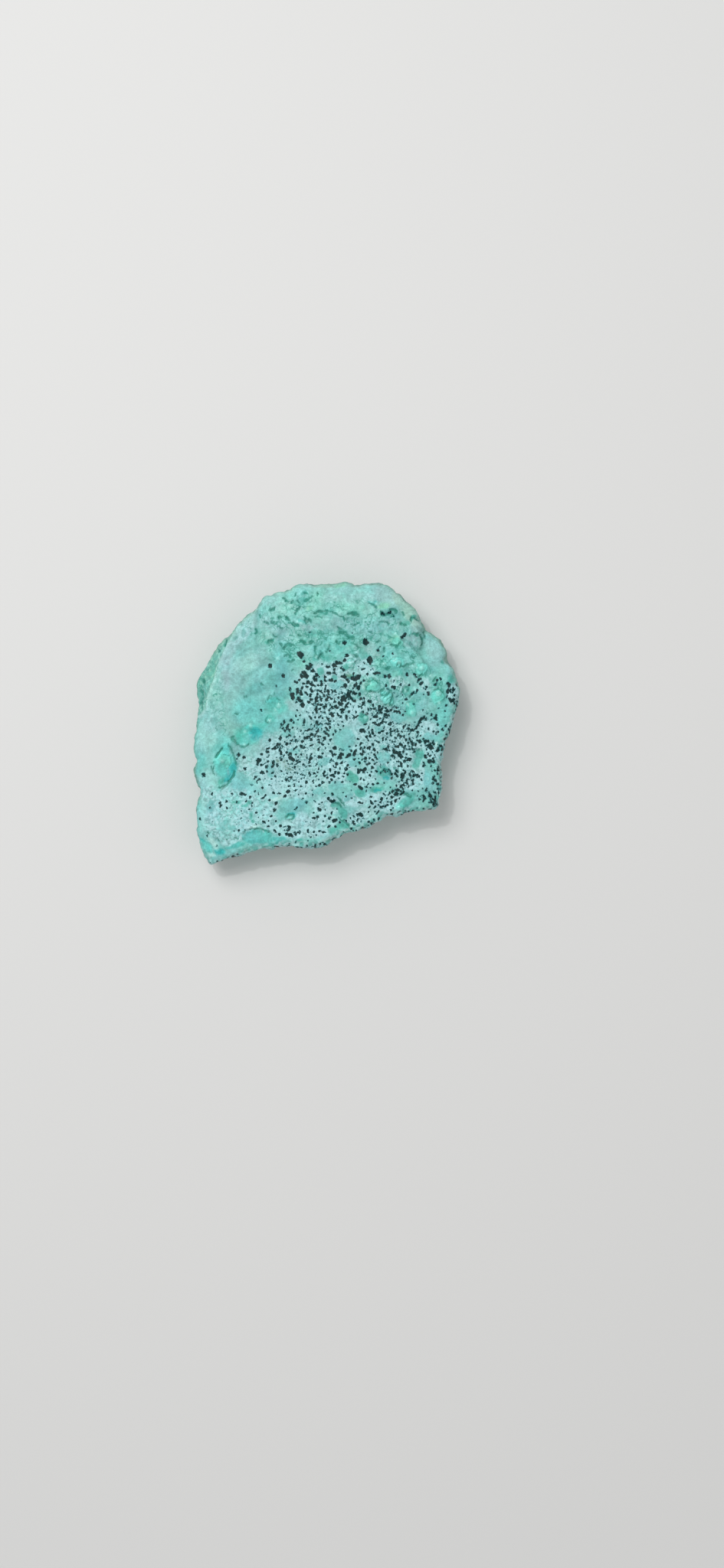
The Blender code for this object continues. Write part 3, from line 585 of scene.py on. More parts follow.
    ("pool green", (0.12, 0.62, 0.52), 0.85, 0.14, [(16.5, -19.0, 1.2, 0.6, 40), (25.3, 6.2, 1.3, 1.4, 0)]),
    ("clear pool", (0.165, 0.74, 0.66), 0.85, 0.16, [
        (-22.9, -9.4, 2.3, 3.2, 10), (-22.5, -6.2, 0.9, 1.6, -10), (13.7, 5.6, 1.6, 1.1, -45),
        (10.2, 8.4, 1.2, 1.1, 0),
    ]),
    ("sea green", (0.2, 0.66, 0.52), 0.5, 0.4, [(-22.9, -8.4, 1.0, 1.4, 10)]),
    ("yellow green", (0.24, 0.66, 0.46), 0.8, 0.4, [
        (15.6, 18.6, 1.5, 1.1, 0), (3.2, 31.0, 1.4, 0.6, 0), (13.0, 26.4, 1.4, 0.7, 20), (-3.6, 25.8, 0.9, 0.4, 0),
    ]),
    ("cyan", (0.03, 0.44, 0.425), 0.92, 0.3, [
        (-15.7, -2.5, 1.5, 1.5, 0), (-21.2, -10.8, 2.2, 1.2, 65), (-23.9, -29.0, 1.3, 0.8, 0),
        (13.9, -12.1, 1.1, 0.6, 10), (11.6, -15.1, 0.9, 0.3, 0), (-27.9, -26.5, 0.8, 0.4, -40), (-22.2, -12.8, 1.1, 0.5, 55),
        (-8.0, -20.5, 0.9, 0.3, 0),
    ]),
    # Partly painted glints: the small spots at (-17.1, -1.0), (-8.0, -21.4), (16.2, -19.2), (13.3, 4.4), (10.4, 27.5)
    # and (-5.9, 22.7) are painted glints; the rest is the stone's own bright cyan.
    ("bright cyan", (0.14, 0.7, 0.65), 0.8, 0.4, [
        (-22.6, -5.7, 0.9, 1.3, 0), (-27.0, -28.1, 2.2, 0.7, -50), (-17.1, -1.0, 0.9, 0.5, 10), (-12.9, 4.9, 0.8, 0.35, 0), (-8.0, -21.4, 0.7, 0.5, 0),
        (16.2, -19.2, 0.9, 0.35, 45), (13.3, 4.4, 0.9, 0.35, 10), (10.4, 27.5, 1.0, 0.4, 0), (-5.9, 22.7, 1.1, 0.3, 0),
    ]),
    ("white", (0.5, 0.85, 0.81), 0.85, 0.35, [
        (-25.5, -27.2, 1.7, 0.7, -52), (-11.0, -16.9, 2.2, 0.3, 20), (0.9, -21.4, 0.9, 0.3, 10), (-16.2, -23.2, 1.6, 0.4, 15),
        (-5.7, 6.2, 0.4, 0.4, 0), (4.4, -24.2, 0.7, 0.3, 20), (24.8, -4.9, 0.6, 0.4, 40), (8.4, 8.4, 0.5, 1.0, 0),
        (-26.0, -29.6, 1.0, 0.4, -10),
    ]),
    ("olive", (0.15, 0.33, 0.23), 0.75, 0.7, [(-8.3, -9.6, 2.0, 1.1, -15), (-10.6, -8.8, 1.2, 0.7, 20), (0.6, -26.2, 1.6, 0.5, 15), (4.6, 10.9, 1.2, 0.5, 0)]),
]
RING_KNOBS = 8
KNOB_RINGS = [(0.68, 0.065), (0.36, 0.06)]
KNOB_TEAL = (0.2, 0.75, 0.66)
KNOB_OUTLINE = (0.025, 0.23, 0.18)
KNOB_TOP_HIGHLIGHT = (0.27, 0.83, 0.72)
GREEN = (0.055, 0.37, 0.3)
PIT_GREEN = (0.032, 0.26, 0.2)
BAND_GREEN = (0.13, 0.44, 0.36)
BAND_SPOT = (0.29, 0.67, 0.55)
COBBLE_TOP_HIGHLIGHT = (0.36, 0.76, 0.69)
RIDGE_HIGHLIGHT = (0.42, 0.75, 0.72)
LEDGE_SHADE = (0.13, 0.38, 0.35)
TOP_RIM_SHADE = (0.28, 0.49, 0.41)
TOP_RIM_SHADE_WIDTH = 1.2
TOP_RIM_SHADE_SPAN = (10, 150)
EDGE_TEAL = (0.15, 0.39, 0.33)
MATRIX_WHITE = (0.46, 0.74, 0.74)
RIND_BROWN = (0.22, 0.34, 0.25)
BACK_TEAL = (0.19, 0.4, 0.37)
RUST = (0.3, 0.22, 0.11)
RUST_STAINS = [(-12.0, -8.0, 7.0, 4.0, 30), (9.0, 14.0, 6.0, 3.0, -20), (14.0, -6.0, 3.0, 5.0, 10)]
BAND_SPAN = (1.6, 21.5)
TINT_CHANGES = [(7.0, 0.07), (2.6, 0.1), (1.1, 0.12)]
HUE_CHANGE = 0.07


def lay(colour, share):
    stone_colour[:] += (np.array(colour) - stone_colour) * np.clip(share, 0, 1)[:, None]


stone_colour = np.tile(np.array(TEAL), (len(x), 1))
cloudy = smoothstep(-0.45, 0.3, lumps(slab_places, 1.9, 31.0) + 0.6 * lumps(slab_places, 0.8, 35.0))
zone_shares = {}
for name, colour, strength, softness, places in COLOUR_ZONES:
    zone_shares[name] = most(zone(form, softness) for form in places)
    patchy = 0.4 + 0.6 * cloudy if name == "white matrix" else 1.0
    lay(colour, strength * patchy * zone_shares[name])

knob_shares = [form_share(form, ragged_x, ragged_y) for form in LOW_KNOBS[:RING_KNOBS]]
knob = most(smoothstep(0.85, 0.6, share) for share in knob_shares) * faces_up
lay(KNOB_TEAL, 0.7 * knob)
for (ring, ring_width), strength in zip(KNOB_RINGS, (0.85, 0.25)):
    knob_ring = most(np.exp(-(((share - ring) / ring_width) ** 2)) for share in knob_shares)
    lay(KNOB_OUTLINE, strength * knob_ring * (0.4 + 0.6 * cloudy) * faces_up)
# Painted highlight: a bright middle on the domes of the first two knobs.
lay(KNOB_TOP_HIGHLIGHT, 0.5 * most(smoothstep(0.6, 0.25, share) for share in knob_shares[:2]) * faces_up)
# Painted highlight on the rounded tops of the crust's cobbles.
lay(COBBLE_TOP_HIGHLIGHT, 0.4 * cobble_top * (1 - knob))
lay(GREEN, (0.15 + 0.3 * cloudy) * crevice * (1 - knob) * faces_up)

ridge_x = np.interp(y, *np.array(RIDGE_LINE)[::-1, ::-1].T)
left_band = smoothstep(0.3, -0.3, edge_x - ridge_x) * between(*BAND_SPAN, y, 0.5)
lay(BAND_GREEN, 0.8 * left_band)
lay(BAND_SPOT, 0.8 * left_band * smoothstep(0.0, 0.2, lumps(slab_places, 1.0, 45.0)))
# Painted highlight along the crest of the left ridge.
lay(RIDGE_HIGHLIGHT, 0.7 * ridge)
lay(LEDGE_SHADE, 2.2 * ledge_step)
lay(LEDGE_SHADE, 0.3 * smoothstep(0.3, 1.0, crease))
# Painted shade: a greyer, darker band just inside the upper rim, where the face curves down to the side.
top_rim_shade = smoothstep(TOP_RIM_SHADE_WIDTH, 0, rim_gap) * between(*TOP_RIM_SHADE_SPAN, round_degrees, 10) * (1 - under)
lay(TOP_RIM_SHADE, 0.65 * top_rim_shade)
lay(PIT_GREEN, 0.88 * smoothstep(-0.08, 0.08, pit_gap))

shelter = (1 - faces_up) * (1 - under)
weathered = shelter * np.clip(1 - 2 * zone_shares["blue facet"], 0, 1)
crumb = smoothstep(-0.15, 0.15, lumps(slab_places, 0.9, 60.0))
broken_rim = smoothstep(2.2, 0.6, rim_gap) * broken * (1 - under) * faces_up
lay(MATRIX_WHITE, 0.6 * broken_rim * crumb)
lay(GREEN, 0.45 * broken_rim * (1 - crumb))
lay(EDGE_TEAL, weathered * (0.75 - 0.3 * broken))
lay(MATRIX_WHITE, shelter * broken * (0.15 + 0.6 * cloudy) * (0.5 + 0.5 * crumb))
lay(RIND_BROWN, weathered * (1 - broken) * (0.25 + 0.4 * cloudy))
lay(GREEN, 0.6 * crevice * shelter * (1 - broken))
lay(BACK_TEAL, under * 0.8)
lay(MATRIX_WHITE, under * 0.3 * cloudy)
lay(RUST, under * 0.5 * most(smoothstep(1.4, 0.6, form_share(form, ragged_x, ragged_y)) for form in RUST_STAINS))

stone_colour *= 1 + sum(change * lumps(slab_places, size, 50.0) for size, change in TINT_CHANGES)[:, None]
hue = HUE_CHANGE * lumps(slab_places, 4.0, 70.0)
stone_colour *= 1 + np.stack([-0.8 * hue, 0.15 * hue, -hue], -1)

# The black grains: copper oxide, single or grown together into short worms, in dense clouds through the
# white matrix. The bold ones stand where they show, as (radius, the line they lie along).
BOLD_GRAINS = [
    (0.54, [(-5.8, 15.5), (-5.6, 15.3), (-5.4, 15.5), (-5.6, 15.6)]), (0.36, [(4.6, 15.2)]), (0.55, [(9.6, 14.7), (9.9, 13.8)]), (0.31, [(8.6, 13.6)]),
    (0.45, [(-4.5, 12.7), (-4.0, 12.3)]), (0.33, [(-3.5, 13.2), (-3.3, 12.5), (-2.8, 11.6)]),
    (0.43, [(-5.1, 11.3), (-4.8, 10.9), (-4.3, 10.5)]), (0.48, [(-7.0, 9.4), (-6.7, 9.2)]), (0.33, [(-6.0, 9.7)]),
    (0.38, [(-4.1, 9.2)]), (0.26, [(-5.0, 8.9)]), (0.33, [(-2.7, 10.4), (-2.7, 9.5), (-2.1, 9.7)]),
    (0.26, [(-2.2, 11.1), (-1.8, 10.5)]), (0.28, [(-1.3, 9.4), (-1.1, 8.8)]), (0.31, [(-2.7, 8.4)]),
    (0.36, [(-3.5, 7.5), (-3.1, 7.1)]), (0.26, [(-2.5, 7.3), (-1.8, 7.4), (-0.9, 6.9), (-0.4, 6.2)]), (0.4, [(-3.6, 6.1)]),
    (0.26, [(-2.0, 6.4)]), (0.38, [(-6.5, 7.5), (-6.5, 6.9)]), (0.36, [(-5.7, 7.2), (-5.6, 6.5)]),
    (0.5, [(-7.7, 6.5), (-7.4, 5.8)]), (0.4, [(-6.6, 5.8), (-6.0, 5.4), (-5.5, 4.9)]), (0.43, [(-5.3, 4.1)]),
    (0.33, [(0.6, 9.6), (1.5, 9.6), (2.2, 9.4)]), (0.3, [(0.3, 11.3), (0.8, 11.2)]), (0.31, [(0.1, 12.6), (0.6, 12.7)]),
    (0.28, [(-1.0, 13.2)]), (0.4, [(1.6, 13.1), (2.0, 12.8)]), (0.33, [(2.2, 13.6), (3.1, 13.4), (3.5, 13.6)]),
    (0.28, [(1.7, 12.2), (1.7, 11.8)]), (0.22, [(3.4, 12.4), (3.8, 11.8), (4.1, 12.2), (3.8, 12.5)]),
    (0.4, [(3.6, 10.6), (4.2, 10.3)]), (0.35, [(4.1, 8.3), (4.4, 8.1)]), (0.28, [(0.0, 8.3)]),
    (0.44, [(5.7, 10.2), (6.5, 9.7), (7.0, 10.1), (7.6, 10.4)]), (0.35, [(6.8, 9.3), (6.6, 8.7)]),
    (0.4, [(6.4, 8.3), (6.1, 7.8)]), (0.3, [(5.1, 9.4), (4.9, 9.8)]), (0.33, [(4.9, 7.4), (5.0, 6.7), (4.8, 6.1), (5.4, 5.9)]),
    (0.29, [(5.5, 7.2), (6.0, 6.7), (6.6, 6.6)]), (0.24, [(3.0, 6.4), (3.5, 6.8), (4.2, 6.4)]),
    (0.39, [(3.8, 5.7), (3.6, 5.2), (4.1, 5.2)]), (0.37, [(5.1, 5.2)]), (0.37, [(7.4, 6.6), (7.4, 6.3)]), (0.3, [(8.4, 5.7)]),
    (0.29, [(0.2, 6.5), (0.2, 5.9), (1.0, 5.7), (1.8, 5.3)]), (0.26, [(1.2, 6.5)]), (0.26, [(2.8, 5.7)]),
    (0.29, [(-4.0, 4.7), (-3.6, 4.5)]), (0.31, [(-2.5, 4.7)]), (0.3, [(0.0, 4.5), (0.1, 3.9), (-0.6, 3.1)]),
    (0.32, [(0.6, 4.5), (1.0, 4.0)]), (0.31, [(1.7, 4.9), (1.9, 4.5)]), (0.44, [(3.0, 4.5), (3.4, 4.2)]),
    (0.35, [(2.1, 3.7), (2.4, 3.4)]), (0.29, [(4.9, 4.3), (4.4, 3.5)]), (0.29, [(-2.3, 3.6), (-2.1, 2.6), (-2.4, 2.1)]),
    (0.26, [(-1.2, 2.5)]), (0.3, [(0.8, 2.9)]), (0.35, [(3.4, 2.9), (3.9, 2.8), (3.6, 2.3)]), (0.26, [(5.2, 2.6)]),
    (0.24, [(6.7, 2.4)]), (0.42, [(1.0, 2.0), (1.4, 1.7)]), (0.22, [(2.3, 2.5), (2.7, 1.8), (3.2, 1.2)]), (0.27, [(3.2, 1.2)]),
    (0.34, [(-0.8, 1.2)]), (0.28, [(1.7, 0.3)]), (0.31, [(3.6, 0.3)]), (0.24, [(4.4, 0.9)]), (0.28, [(6.2, 0.9)]),
    (0.31, [(-2.2, 0.3), (-1.9, -0.3)]), (0.33, [(0.1, 0.0)]), (0.26, [(-1.2, -0.1), (-0.7, -0.7)]),
    (0.29, [(1.8, -0.6), (2.7, -0.3)]), (0.34, [(0.0, -1.2), (0.4, -1.5)]), (0.33, [(2.1, -1.9)]), (0.2, [(2.9, -2.0), (3.2, -1.7)]),
    (0.31, [(-7.9, 0.6), (-7.5, 0.2)]), (0.2, [(-5.0, 0.9), (-4.9, 0.0), (-5.1, -0.6)]), (0.4, [(-5.9, 1.6)]),
    (0.24, [(-8.6, -0.6), (-8.9, -1.4), (-8.2, -1.5)]), (0.28, [(-10.5, -1.1)]), (0.22, [(-6.5, -1.1)]),
    (0.27, [(-4.6, -1.9), (-4.0, -1.6), (-3.3, -1.3)]), (0.34, [(7.9, -1.6), (8.6, -1.8)]), (0.31, [(-8.2, -2.8)]),
    (0.31, [(-4.7, -3.3), (-3.8, -3.2), (-3.4, -2.5)]), (0.28, [(-2.7, -3.2), (-2.3, -2.6)]), (0.26, [(0.5, -2.7)]),
    (0.28, [(1.1, -3.8)]), (0.24, [(-1.8, -3.7), (-1.5, -4.3)]), (0.33, [(-10.3, -3.5)]), (0.28, [(-7.2, -4.1), (-6.6, -4.0)]),
    (0.31, [(-5.4, -4.2)]), (0.31, [(-9.2, -4.3), (-8.8, -4.8)]), (0.33, [(7.2, -3.7)]), (0.31, [(7.6, -4.8), (8.2, -4.5)]),
    (0.33, [(-12.1, -6.0), (-11.0, -5.5), (-10.4, -5.8), (-10.3, -6.8), (-9.6, -7.4)]), (0.33, [(-8.8, -5.9)]),
    (0.26, [(-7.2, -5.8), (-6.7, -5.4)]), (0.26, [(-5.6, -5.2), (-5.1, -5.5)]), (0.26, [(-1.6, -5.9)]), (0.38, [(1.9, -5.7)]),
    (0.28, [(1.1, -6.5), (1.4, -7.0), (1.9, -7.2)]), (0.33, [(3.6, -7.1), (3.0, -7.2), (2.9, -7.9), (3.3, -8.0)]),
    (0.31, [(5.3, -7.0), (4.5, -7.8)]), (0.33, [(6.7, -6.2), (6.4, -7.0)]), (0.27, [(5.5, -6.2)]),
    (0.31, [(-3.4, -7.0), (-3.2, -7.7), (-3.7, -8.2)]), (0.31, [(-8.3, -7.8), (-7.2, -8.3), (-6.0, -8.9)]), (0.29, [(1.5, -8.6)]),
    (0.28, [(10.6, 0.1), (11.3, -0.3), (11.9, -0.4)]), (0.28, [(12.9, 1.1), (12.8, 0.3), (12.3, -0.2)]),
    (0.22, [(10.4, -1.4), (10.3, -2.3), (10.9, -2.9), (11.8, -2.6), (12.7, -1.8)]),
    (0.24, [(14.5, -1.2), (14.5, -1.9), (15.2, -1.9), (15.8, -1.2), (16.2, -2.0), (16.2, -2.8)]), (0.3, [(17.3, -0.9), (17.7, -0.9)]),
    (0.25, [(18.4, -1.8)]), (0.24, [(16.9, -1.8)]), (0.25, [(14.3, -2.7), (14.8, -2.9)]), (0.24, [(13.8, -3.2), (13.6, -4.2)]),
    (0.2, [(12.8, -3.3), (12.8, -4.3)]), (0.18, [(11.0, -4.0), (12.0, -4.4)]), (0.28, [(15.0, -4.3), (15.5, -4.2)]),
    (0.24, [(17.3, -3.2), (17.8, -2.5)]), (0.3, [(18.1, -3.8)]), (0.25, [(17.4, -4.4)]), (0.2, [(18.4, -4.4), (18.6, -5.2)]),
    (0.3, [(19.3, -1.7), (20.0, -1.8)]), (0.31, [(20.3, -1.2), (20.9, -0.1), (21.4, 0.9), (21.9, 1.3)]),
    (0.29, [(22.3, 0.7), (22.6, 1.1)]), (0.28, [(20.7, -1.9), (20.7, -2.4)]), (0.2, [(20.6, -2.8), (20.1, -3.5)]),
    (0.33, [(23.2, -1.4)]), (0.22, [(24.1, -1.9), (24.3, -2.3)]), (0.37, [(25.2, -0.4)]), (0.33, [(27.0, -0.8)]),
    (0.37, [(28.1, -0.8)]), (0.3, [(20.5, -4.1), (21.2, -4.1)]), (0.33, [(22.3, -4.1), (22.9, -4.3)]),
    (0.31, [(23.9, -4.1), (24.3, -4.8)]), (0.37, [(23.4, -5.6), (23.9, -5.6)]), (0.29, [(22.7, -6.8)]), (0.26, [(23.8, -6.6)]),
    (0.33, [(23.4, -7.5)]), (0.34, [(25.3, -5.8), (24.9, -6.4)]), (0.33, [(24.2, -8.1), (24.2, -8.8), (23.2, -8.6)]),
    (0.39, [(15.2, -6.2), (15.2, -6.6), (15.8, -6.6)]), (0.25, [(12.6, -6.1), (13.2, -5.9), (13.9, -6.2)]),
    (0.3, [(9.3, -5.8), (9.8, -5.3)]), (0.26, [(11.6, -6.7)]), (0.25, [(17.3, -6.9), (17.4, -6.2), (18.2, -6.0), (18.7, -5.9)]),
    (0.24, [(17.2, -5.4), (17.8, -5.3)]), (0.24, [(15.6, -5.2), (16.3, -5.4)]), (0.24, [(18.6, -5.3)]),
    (0.28, [(19.5, -6.7), (19.9, -6.4)]), (0.34, [(16.4, -7.2), (16.7, -7.8), (17.0, -7.6)]), (0.26, [(18.2, -7.2)]),
    (0.46, [(18.4, -8.3), (18.8, -8.1)]), (0.28, [(16.0, -8.7), (16.4, -8.8)]), (0.28, [(17.0, -9.1)]),
    (0.24, [(16.1, -9.7), (16.9, -9.8)]), (0.22, [(15.3, -9.0)]), (0.25, [(14.5, -8.5)]), (0.24, [(13.8, -9.0)]),
    (0.28, [(10.9, -7.2), (11.3, -7.9), (11.3, -8.7)]), (0.31, [(8.2, -8.4)]), (0.28, [(9.0, -8.1), (9.8, -7.8)]),
    (0.28, [(10.2, -10.1), (10.6, -10.1)]), (0.31, [(8.1, -10.6), (8.7, -10.4), (8.6, -11.0)]), (0.24, [(9.4, -11.0)]),
    (0.33, [(8.5, -12.8)]), (0.24, [(9.4, -13.7)]), (0.3, [(9.1, -14.6)]), (0.24, [(11.5, -13.4)]), (0.25, [(13.0, -13.6)]),
    (0.2, [(12.3, -11.0), (13.0, -10.8), (13.5, -11.1)]), (0.28, [(14.0, -10.3), (14.5, -11.0), (14.8, -11.6)]),
    (0.24, [(15.7, -10.8), (16.2, -11.2)]), (0.24, [(15.4, -11.3)]), (0.34, [(17.5, -10.8), (17.9, -11.0)]),
    (0.34, [(17.0, -12.2), (17.1, -11.8)]), (0.22, [(16.8, -11.6), (17.4, -11.4), (17.5, -12.0)]),
    (0.26, [(18.0, -13.4), (18.1, -12.8), (18.9, -12.6), (19.5, -12.9), (19.6, -13.6), (19.4, -13.9)]),
    (0.29, [(18.2, -13.7)]), (0.26, [(16.3, -13.3)]), (0.28, [(15.8, -14.2)]), (0.2, [(14.5, -14.3)]), (0.2, [(17.3, -14.8)]),
    (0.28, [(19.4, -15.1)]), (0.27, [(21.7, -14.8)]), (0.26, [(21.4, -12.8)]), (0.28, [(22.0, -10.0), (21.9, -9.0)]),
    (0.28, [(16.0, -15.1), (16.6, -15.3), (17.3, -15.5)]), (0.28, [(17.0, -16.0), (16.8, -16.2)]), (0.39, [(15.4, -16.4), (15.9, -16.1)]),
    (0.24, [(13.9, -16.3), (14.4, -15.6)]), (0.26, [(16.5, -17.0)]), (0.26, [(15.5, -17.8), (15.8, -17.3)]),
    (0.22, [(14.5, -18.0), (14.9, -18.2)]), (0.22, [(13.8, -17.8)]), (0.28, [(12.5, -17.2)]), (0.33, [(11.0, -17.5)]),
    (0.28, [(10.1, -16.5)]), (0.26, [(11.7, -18.5)]), (0.28, [(12.3, -18.9), (13.0, -18.8), (14.0, -18.5)]),
    (0.31, [(14.7, -19.5), (14.9, -19.2)]), (0.26, [(11.0, -20.2), (11.7, -20.1)]), (0.29, [(9.4, -20.0)]),
    (0.26, [(21.2, -16.5), (21.8, -16.3), (22.2, -17.0), (22.0, -17.6)]), (0.33, [(23.4, -17.2), (23.8, -17.0)]),
    (0.31, [(23.2, -18.1), (23.8, -17.9)]), (0.31, [(24.4, -16.6), (24.5, -17.5)]), (0.26, [(23.2, -15.6)]),
    (0.33, [(10.7, 11.3), (11.3, 11.3), (12.1, 11.0)]), (0.33, [(13.1, 10.7)]), (0.3, [(14.2, 10.8), (14.2, 10.3)]),
    (0.4, [(18.1, 10.8)]), (0.33, [(19.7, 11.0)]), (0.36, [(20.6, 9.3), (21.0, 9.7)]), (0.36, [(21.3, 8.7), (21.8, 9.2)]),
    (0.28, [(22.0, 7.7), (22.7, 8.0)]), (0.31, [(22.9, 6.9), (23.0, 6.2)]), (0.33, [(21.9, 6.4)]), (0.33, [(24.9, 9.7)]),
    (0.33, [(13.5, 8.4)]), (0.36, [(15.0, 8.3), (15.3, 8.1)]), (0.28, [(13.9, 7.6)]), (0.28, [(16.8, 8.7)]), (0.3, [(18.8, 8.6)]),
    (0.28, [(19.2, 6.4), (19.6, 6.9)]), (0.33, [(18.1, 5.4)]), (0.28, [(17.2, 4.4)]), (0.25, [(15.2, 3.7), (15.9, 3.4), (16.8, 3.5)]),
    (0.28, [(19.8, 4.3)]), (0.4, [(21.7, 2.9)]), (0.28, [(17.8, 2.5)]), (0.25, [(17.3, 1.7)]),
    (0.33, [(23.8, 1.9), (24.3, 1.4), (24.8, 0.8)]), (0.36, [(27.1, 4.0)]), (0.33, [(28.0, 7.6), (28.6, 7.8), (28.9, 7.3)]),
    (0.33, [(28.2, 6.8)]), (0.36, [(29.0, 6.4)]), (0.4, [(28.1, 5.0), (28.6, 5.2)]), (0.28, [(27.7, 5.6)]),
    (0.36, [(11.6, 16.3)]), (0.22, [(12.2, 17.1)]), (0.53, [(8.7, 18.6), (8.9, 18.2)]), (0.44, [(17.2, 19.4), (17.7, 19.9)]),
    (0.24, [(14.9, 15.5)]), (0.28, [(12.8, 15.0)]), (0.22, [(8.1, 12.0), (8.7, 12.2)]), (0.4, [(4.2, 18.0)]), (0.33, [(-3.5, 20.3)]),
    (0.3, [(9.3, 4.9), (10.0, 4.9)]), (0.28, [(8.8, 3.9)]), (0.28, [(10.5, 4.1)]), (0.25, [(9.3, 3.1), (10.2, 3.0)]),
    (0.37, [(12.1, 2.9), (12.6, 3.0)]), (0.29, [(12.7, 2.2), (11.9, 2.4)]), (0.28, [(13.5, 2.9), (14.1, 2.5)]),
    (0.26, [(15.2, 2.5), (15.9, 2.5), (16.6, 2.4)]), (0.31, [(10.7, 1.5), (11.4, 1.4)]), (0.24, [(12.1, 1.1)]),
    (0.24, [(11.5, 2.2)]), (0.3, [(8.2, 2.4), (9.4, 2.0)]), (0.31, [(-11.9, -8.8)]), (0.33, [(-11.0, -9.3)]),
    (0.33, [(-13.4, -9.8)]), (0.33, [(-12.0, -9.7)]), (0.24, [(-13.2, -10.9)]), (0.33, [(-12.1, -11.1)]), (0.28, [(-6.0, -10.4)]),
    (0.24, [(-5.2, -10.8)]), (0.26, [(-7.5, -10.1), (-6.7, -10.4)]), (0.26, [(-4.5, -9.8), (-3.5, -9.7)]),
    (0.29, [(-3.9, -11.2), (-3.6, -11.7)]), (0.31, [(-2.9, -11.4)]), (0.24, [(-7.1, -11.3)]), (0.22, [(-10.6, -12.2)]),
    (0.28, [(-9.0, -12.4), (-8.8, -12.9), (-8.5, -13.2)]), (0.27, [(-8.0, -12.2), (-7.8, -12.6), (-7.6, -12.2)]),
    (0.26, [(-0.4, -11.0), (-0.5, -11.8)]), (0.22, [(-1.2, -12.0)]), (0.31, [(0.8, -10.6)]), (0.29, [(0.3, -11.5)]),
    (0.31, [(2.0, -11.2)]), (0.31, [(2.8, -11.3)]), (0.27, [(1.2, -11.8), (1.8, -12.0)]), (0.28, [(0.3, -12.5)]),
    (0.31, [(-1.0, -13.3), (-0.6, -13.4)]), (0.33, [(-4.4, -13.3)]), (0.29, [(-2.3, -14.1)]), (0.22, [(0.7, -13.5)]),
    (0.29, [(3.8, -13.2)]), (0.31, [(4.7, -10.4)]), (0.28, [(4.8, -11.6)]), (0.26, [(3.0, -10.2)]), (0.28, [(2.4, -9.3)]),
    (0.26, [(4.1, -8.8)]), (0.26, [(-8.2, -14.1)]), (0.31, [(-8.9, -15.4), (-8.6, -15.4)]), (0.22, [(-10.8, -15.8), (-10.4, -15.8)]),
    (0.22, [(-7.9, -16.3)]), (0.22, [(-7.2, -15.3), (-6.4, -15.1)]), (0.22, [(-5.6, -14.3)]), (0.22, [(-4.5, -15.8)]),
    (0.33, [(-11.4, -17.9)]), (0.22, [(-12.9, -17.5)]), (0.33, [(-4.3, -17.9)]), (0.26, [(-2.7, -17.4)]), (0.28, [(-0.3, -15.8)]),
    (0.31, [(1.5, -16.2)]), (0.28, [(0.4, -16.9), (0.9, -17.3), (1.4, -17.7), (1.9, -17.5)]), (0.33, [(4.4, -16.7)]),
    (0.34, [(5.7, -16.9)]), (0.27, [(8.2, -17.9), (7.6, -18.0)]), (0.22, [(3.8, -15.6)]), (0.24, [(-11.4, -19.3), (-11.8, -19.8)]),
    (0.22, [(-12.6, -21.2), (-12.3, -20.9)]), (0.33, [(-1.8, -19.3), (-1.6, -19.7)]), (0.26, [(1.2, -20.2)]),
    (0.26, [(-3.0, -21.4), (-2.6, -21.4)]), (0.26, [(-1.9, -21.1), (-2.0, -21.6)]), (0.22, [(-3.5, -22.4)]), (0.22, [(-0.8, -22.3)]),
    (0.31, [(1.5, -22.3), (2.0, -22.1)]), (0.26, [(0.8, -23.1), (0.6, -23.5)]), (0.22, [(3.0, -22.4)]),
    (0.31, [(-8.4, -23.5), (-8.3, -24.0), (-8.7, -24.2)]), (0.33, [(-11.8, -24.2), (-11.4, -24.5)]), (0.22, [(-9.5, -24.1)]),
    (0.31, [(-8.8, -25.1), (-8.3, -25.2), (-7.8, -25.4)]), (0.31, [(-7.0, -25.2)]), (0.22, [(-7.2, -24.6)]),
    (0.26, [(-6.3, -24.7), (-5.9, -24.6)]), (0.31, [(-4.2, -24.6), (-4.0, -24.3)]), (0.31, [(-0.6, -24.7)]),
    (0.22, [(-1.7, -24.2), (-1.1, -24.3)]), (0.37, [(7.0, -20.7), (7.5, -20.6), (8.0, -20.9)]), (0.26, [(8.5, -21.6)]),
    (0.26, [(6.1, -22.3)]), (0.26, [(6.4, -23.0)]), (0.31, [(7.5, -14.4), (7.9, -14.9)]), (0.28, [(7.7, -12.6)]),
    (0.28, [(7.3, -11.3), (7.5, -10.5), (8.4, -10.6), (8.6, -11.3)]), (0.26, [(6.7, -9.7)]),
    (0.45, [(-12.6, 12.9)]), (0.36, [(-9.6, 10.8)]), (0.22, [(-11.2, 8.3)]), (0.3, [(-14.6, 3.0)]), (0.4, [(-12.7, -3.9)]),
    (0.41, [(-19.7, -7.2)]), (0.49, [(-18.6, -7.6)]), (0.3, [(-20.0, -8.1)]), (0.49, [(-18.2, -10.3)]), (0.42, [(-27.6, -11.7)]),
    (0.42, [(-13.3, -6.4)]), (0.41, [(-15.7, -8.6), (-15.1, -8.3)]), (0.31, [(-15.4, -9.5)]), (0.24, [(-14.6, -9.5)]),
    (0.33, [(-14.8, -11.2), (-14.3, -11.2)]), (0.37, [(-16.1, -12.5), (-15.9, -12.0)]), (0.31, [(-14.9, -12.6)]),
    (0.28, [(-14.6, -6.9), (-14.4, -7.4)]), (0.29, [(-14.3, -14.6)]), (0.29, [(-16.2, -15.4)]), (0.33, [(-19.2, -15.9), (-18.3, -16.1)]),
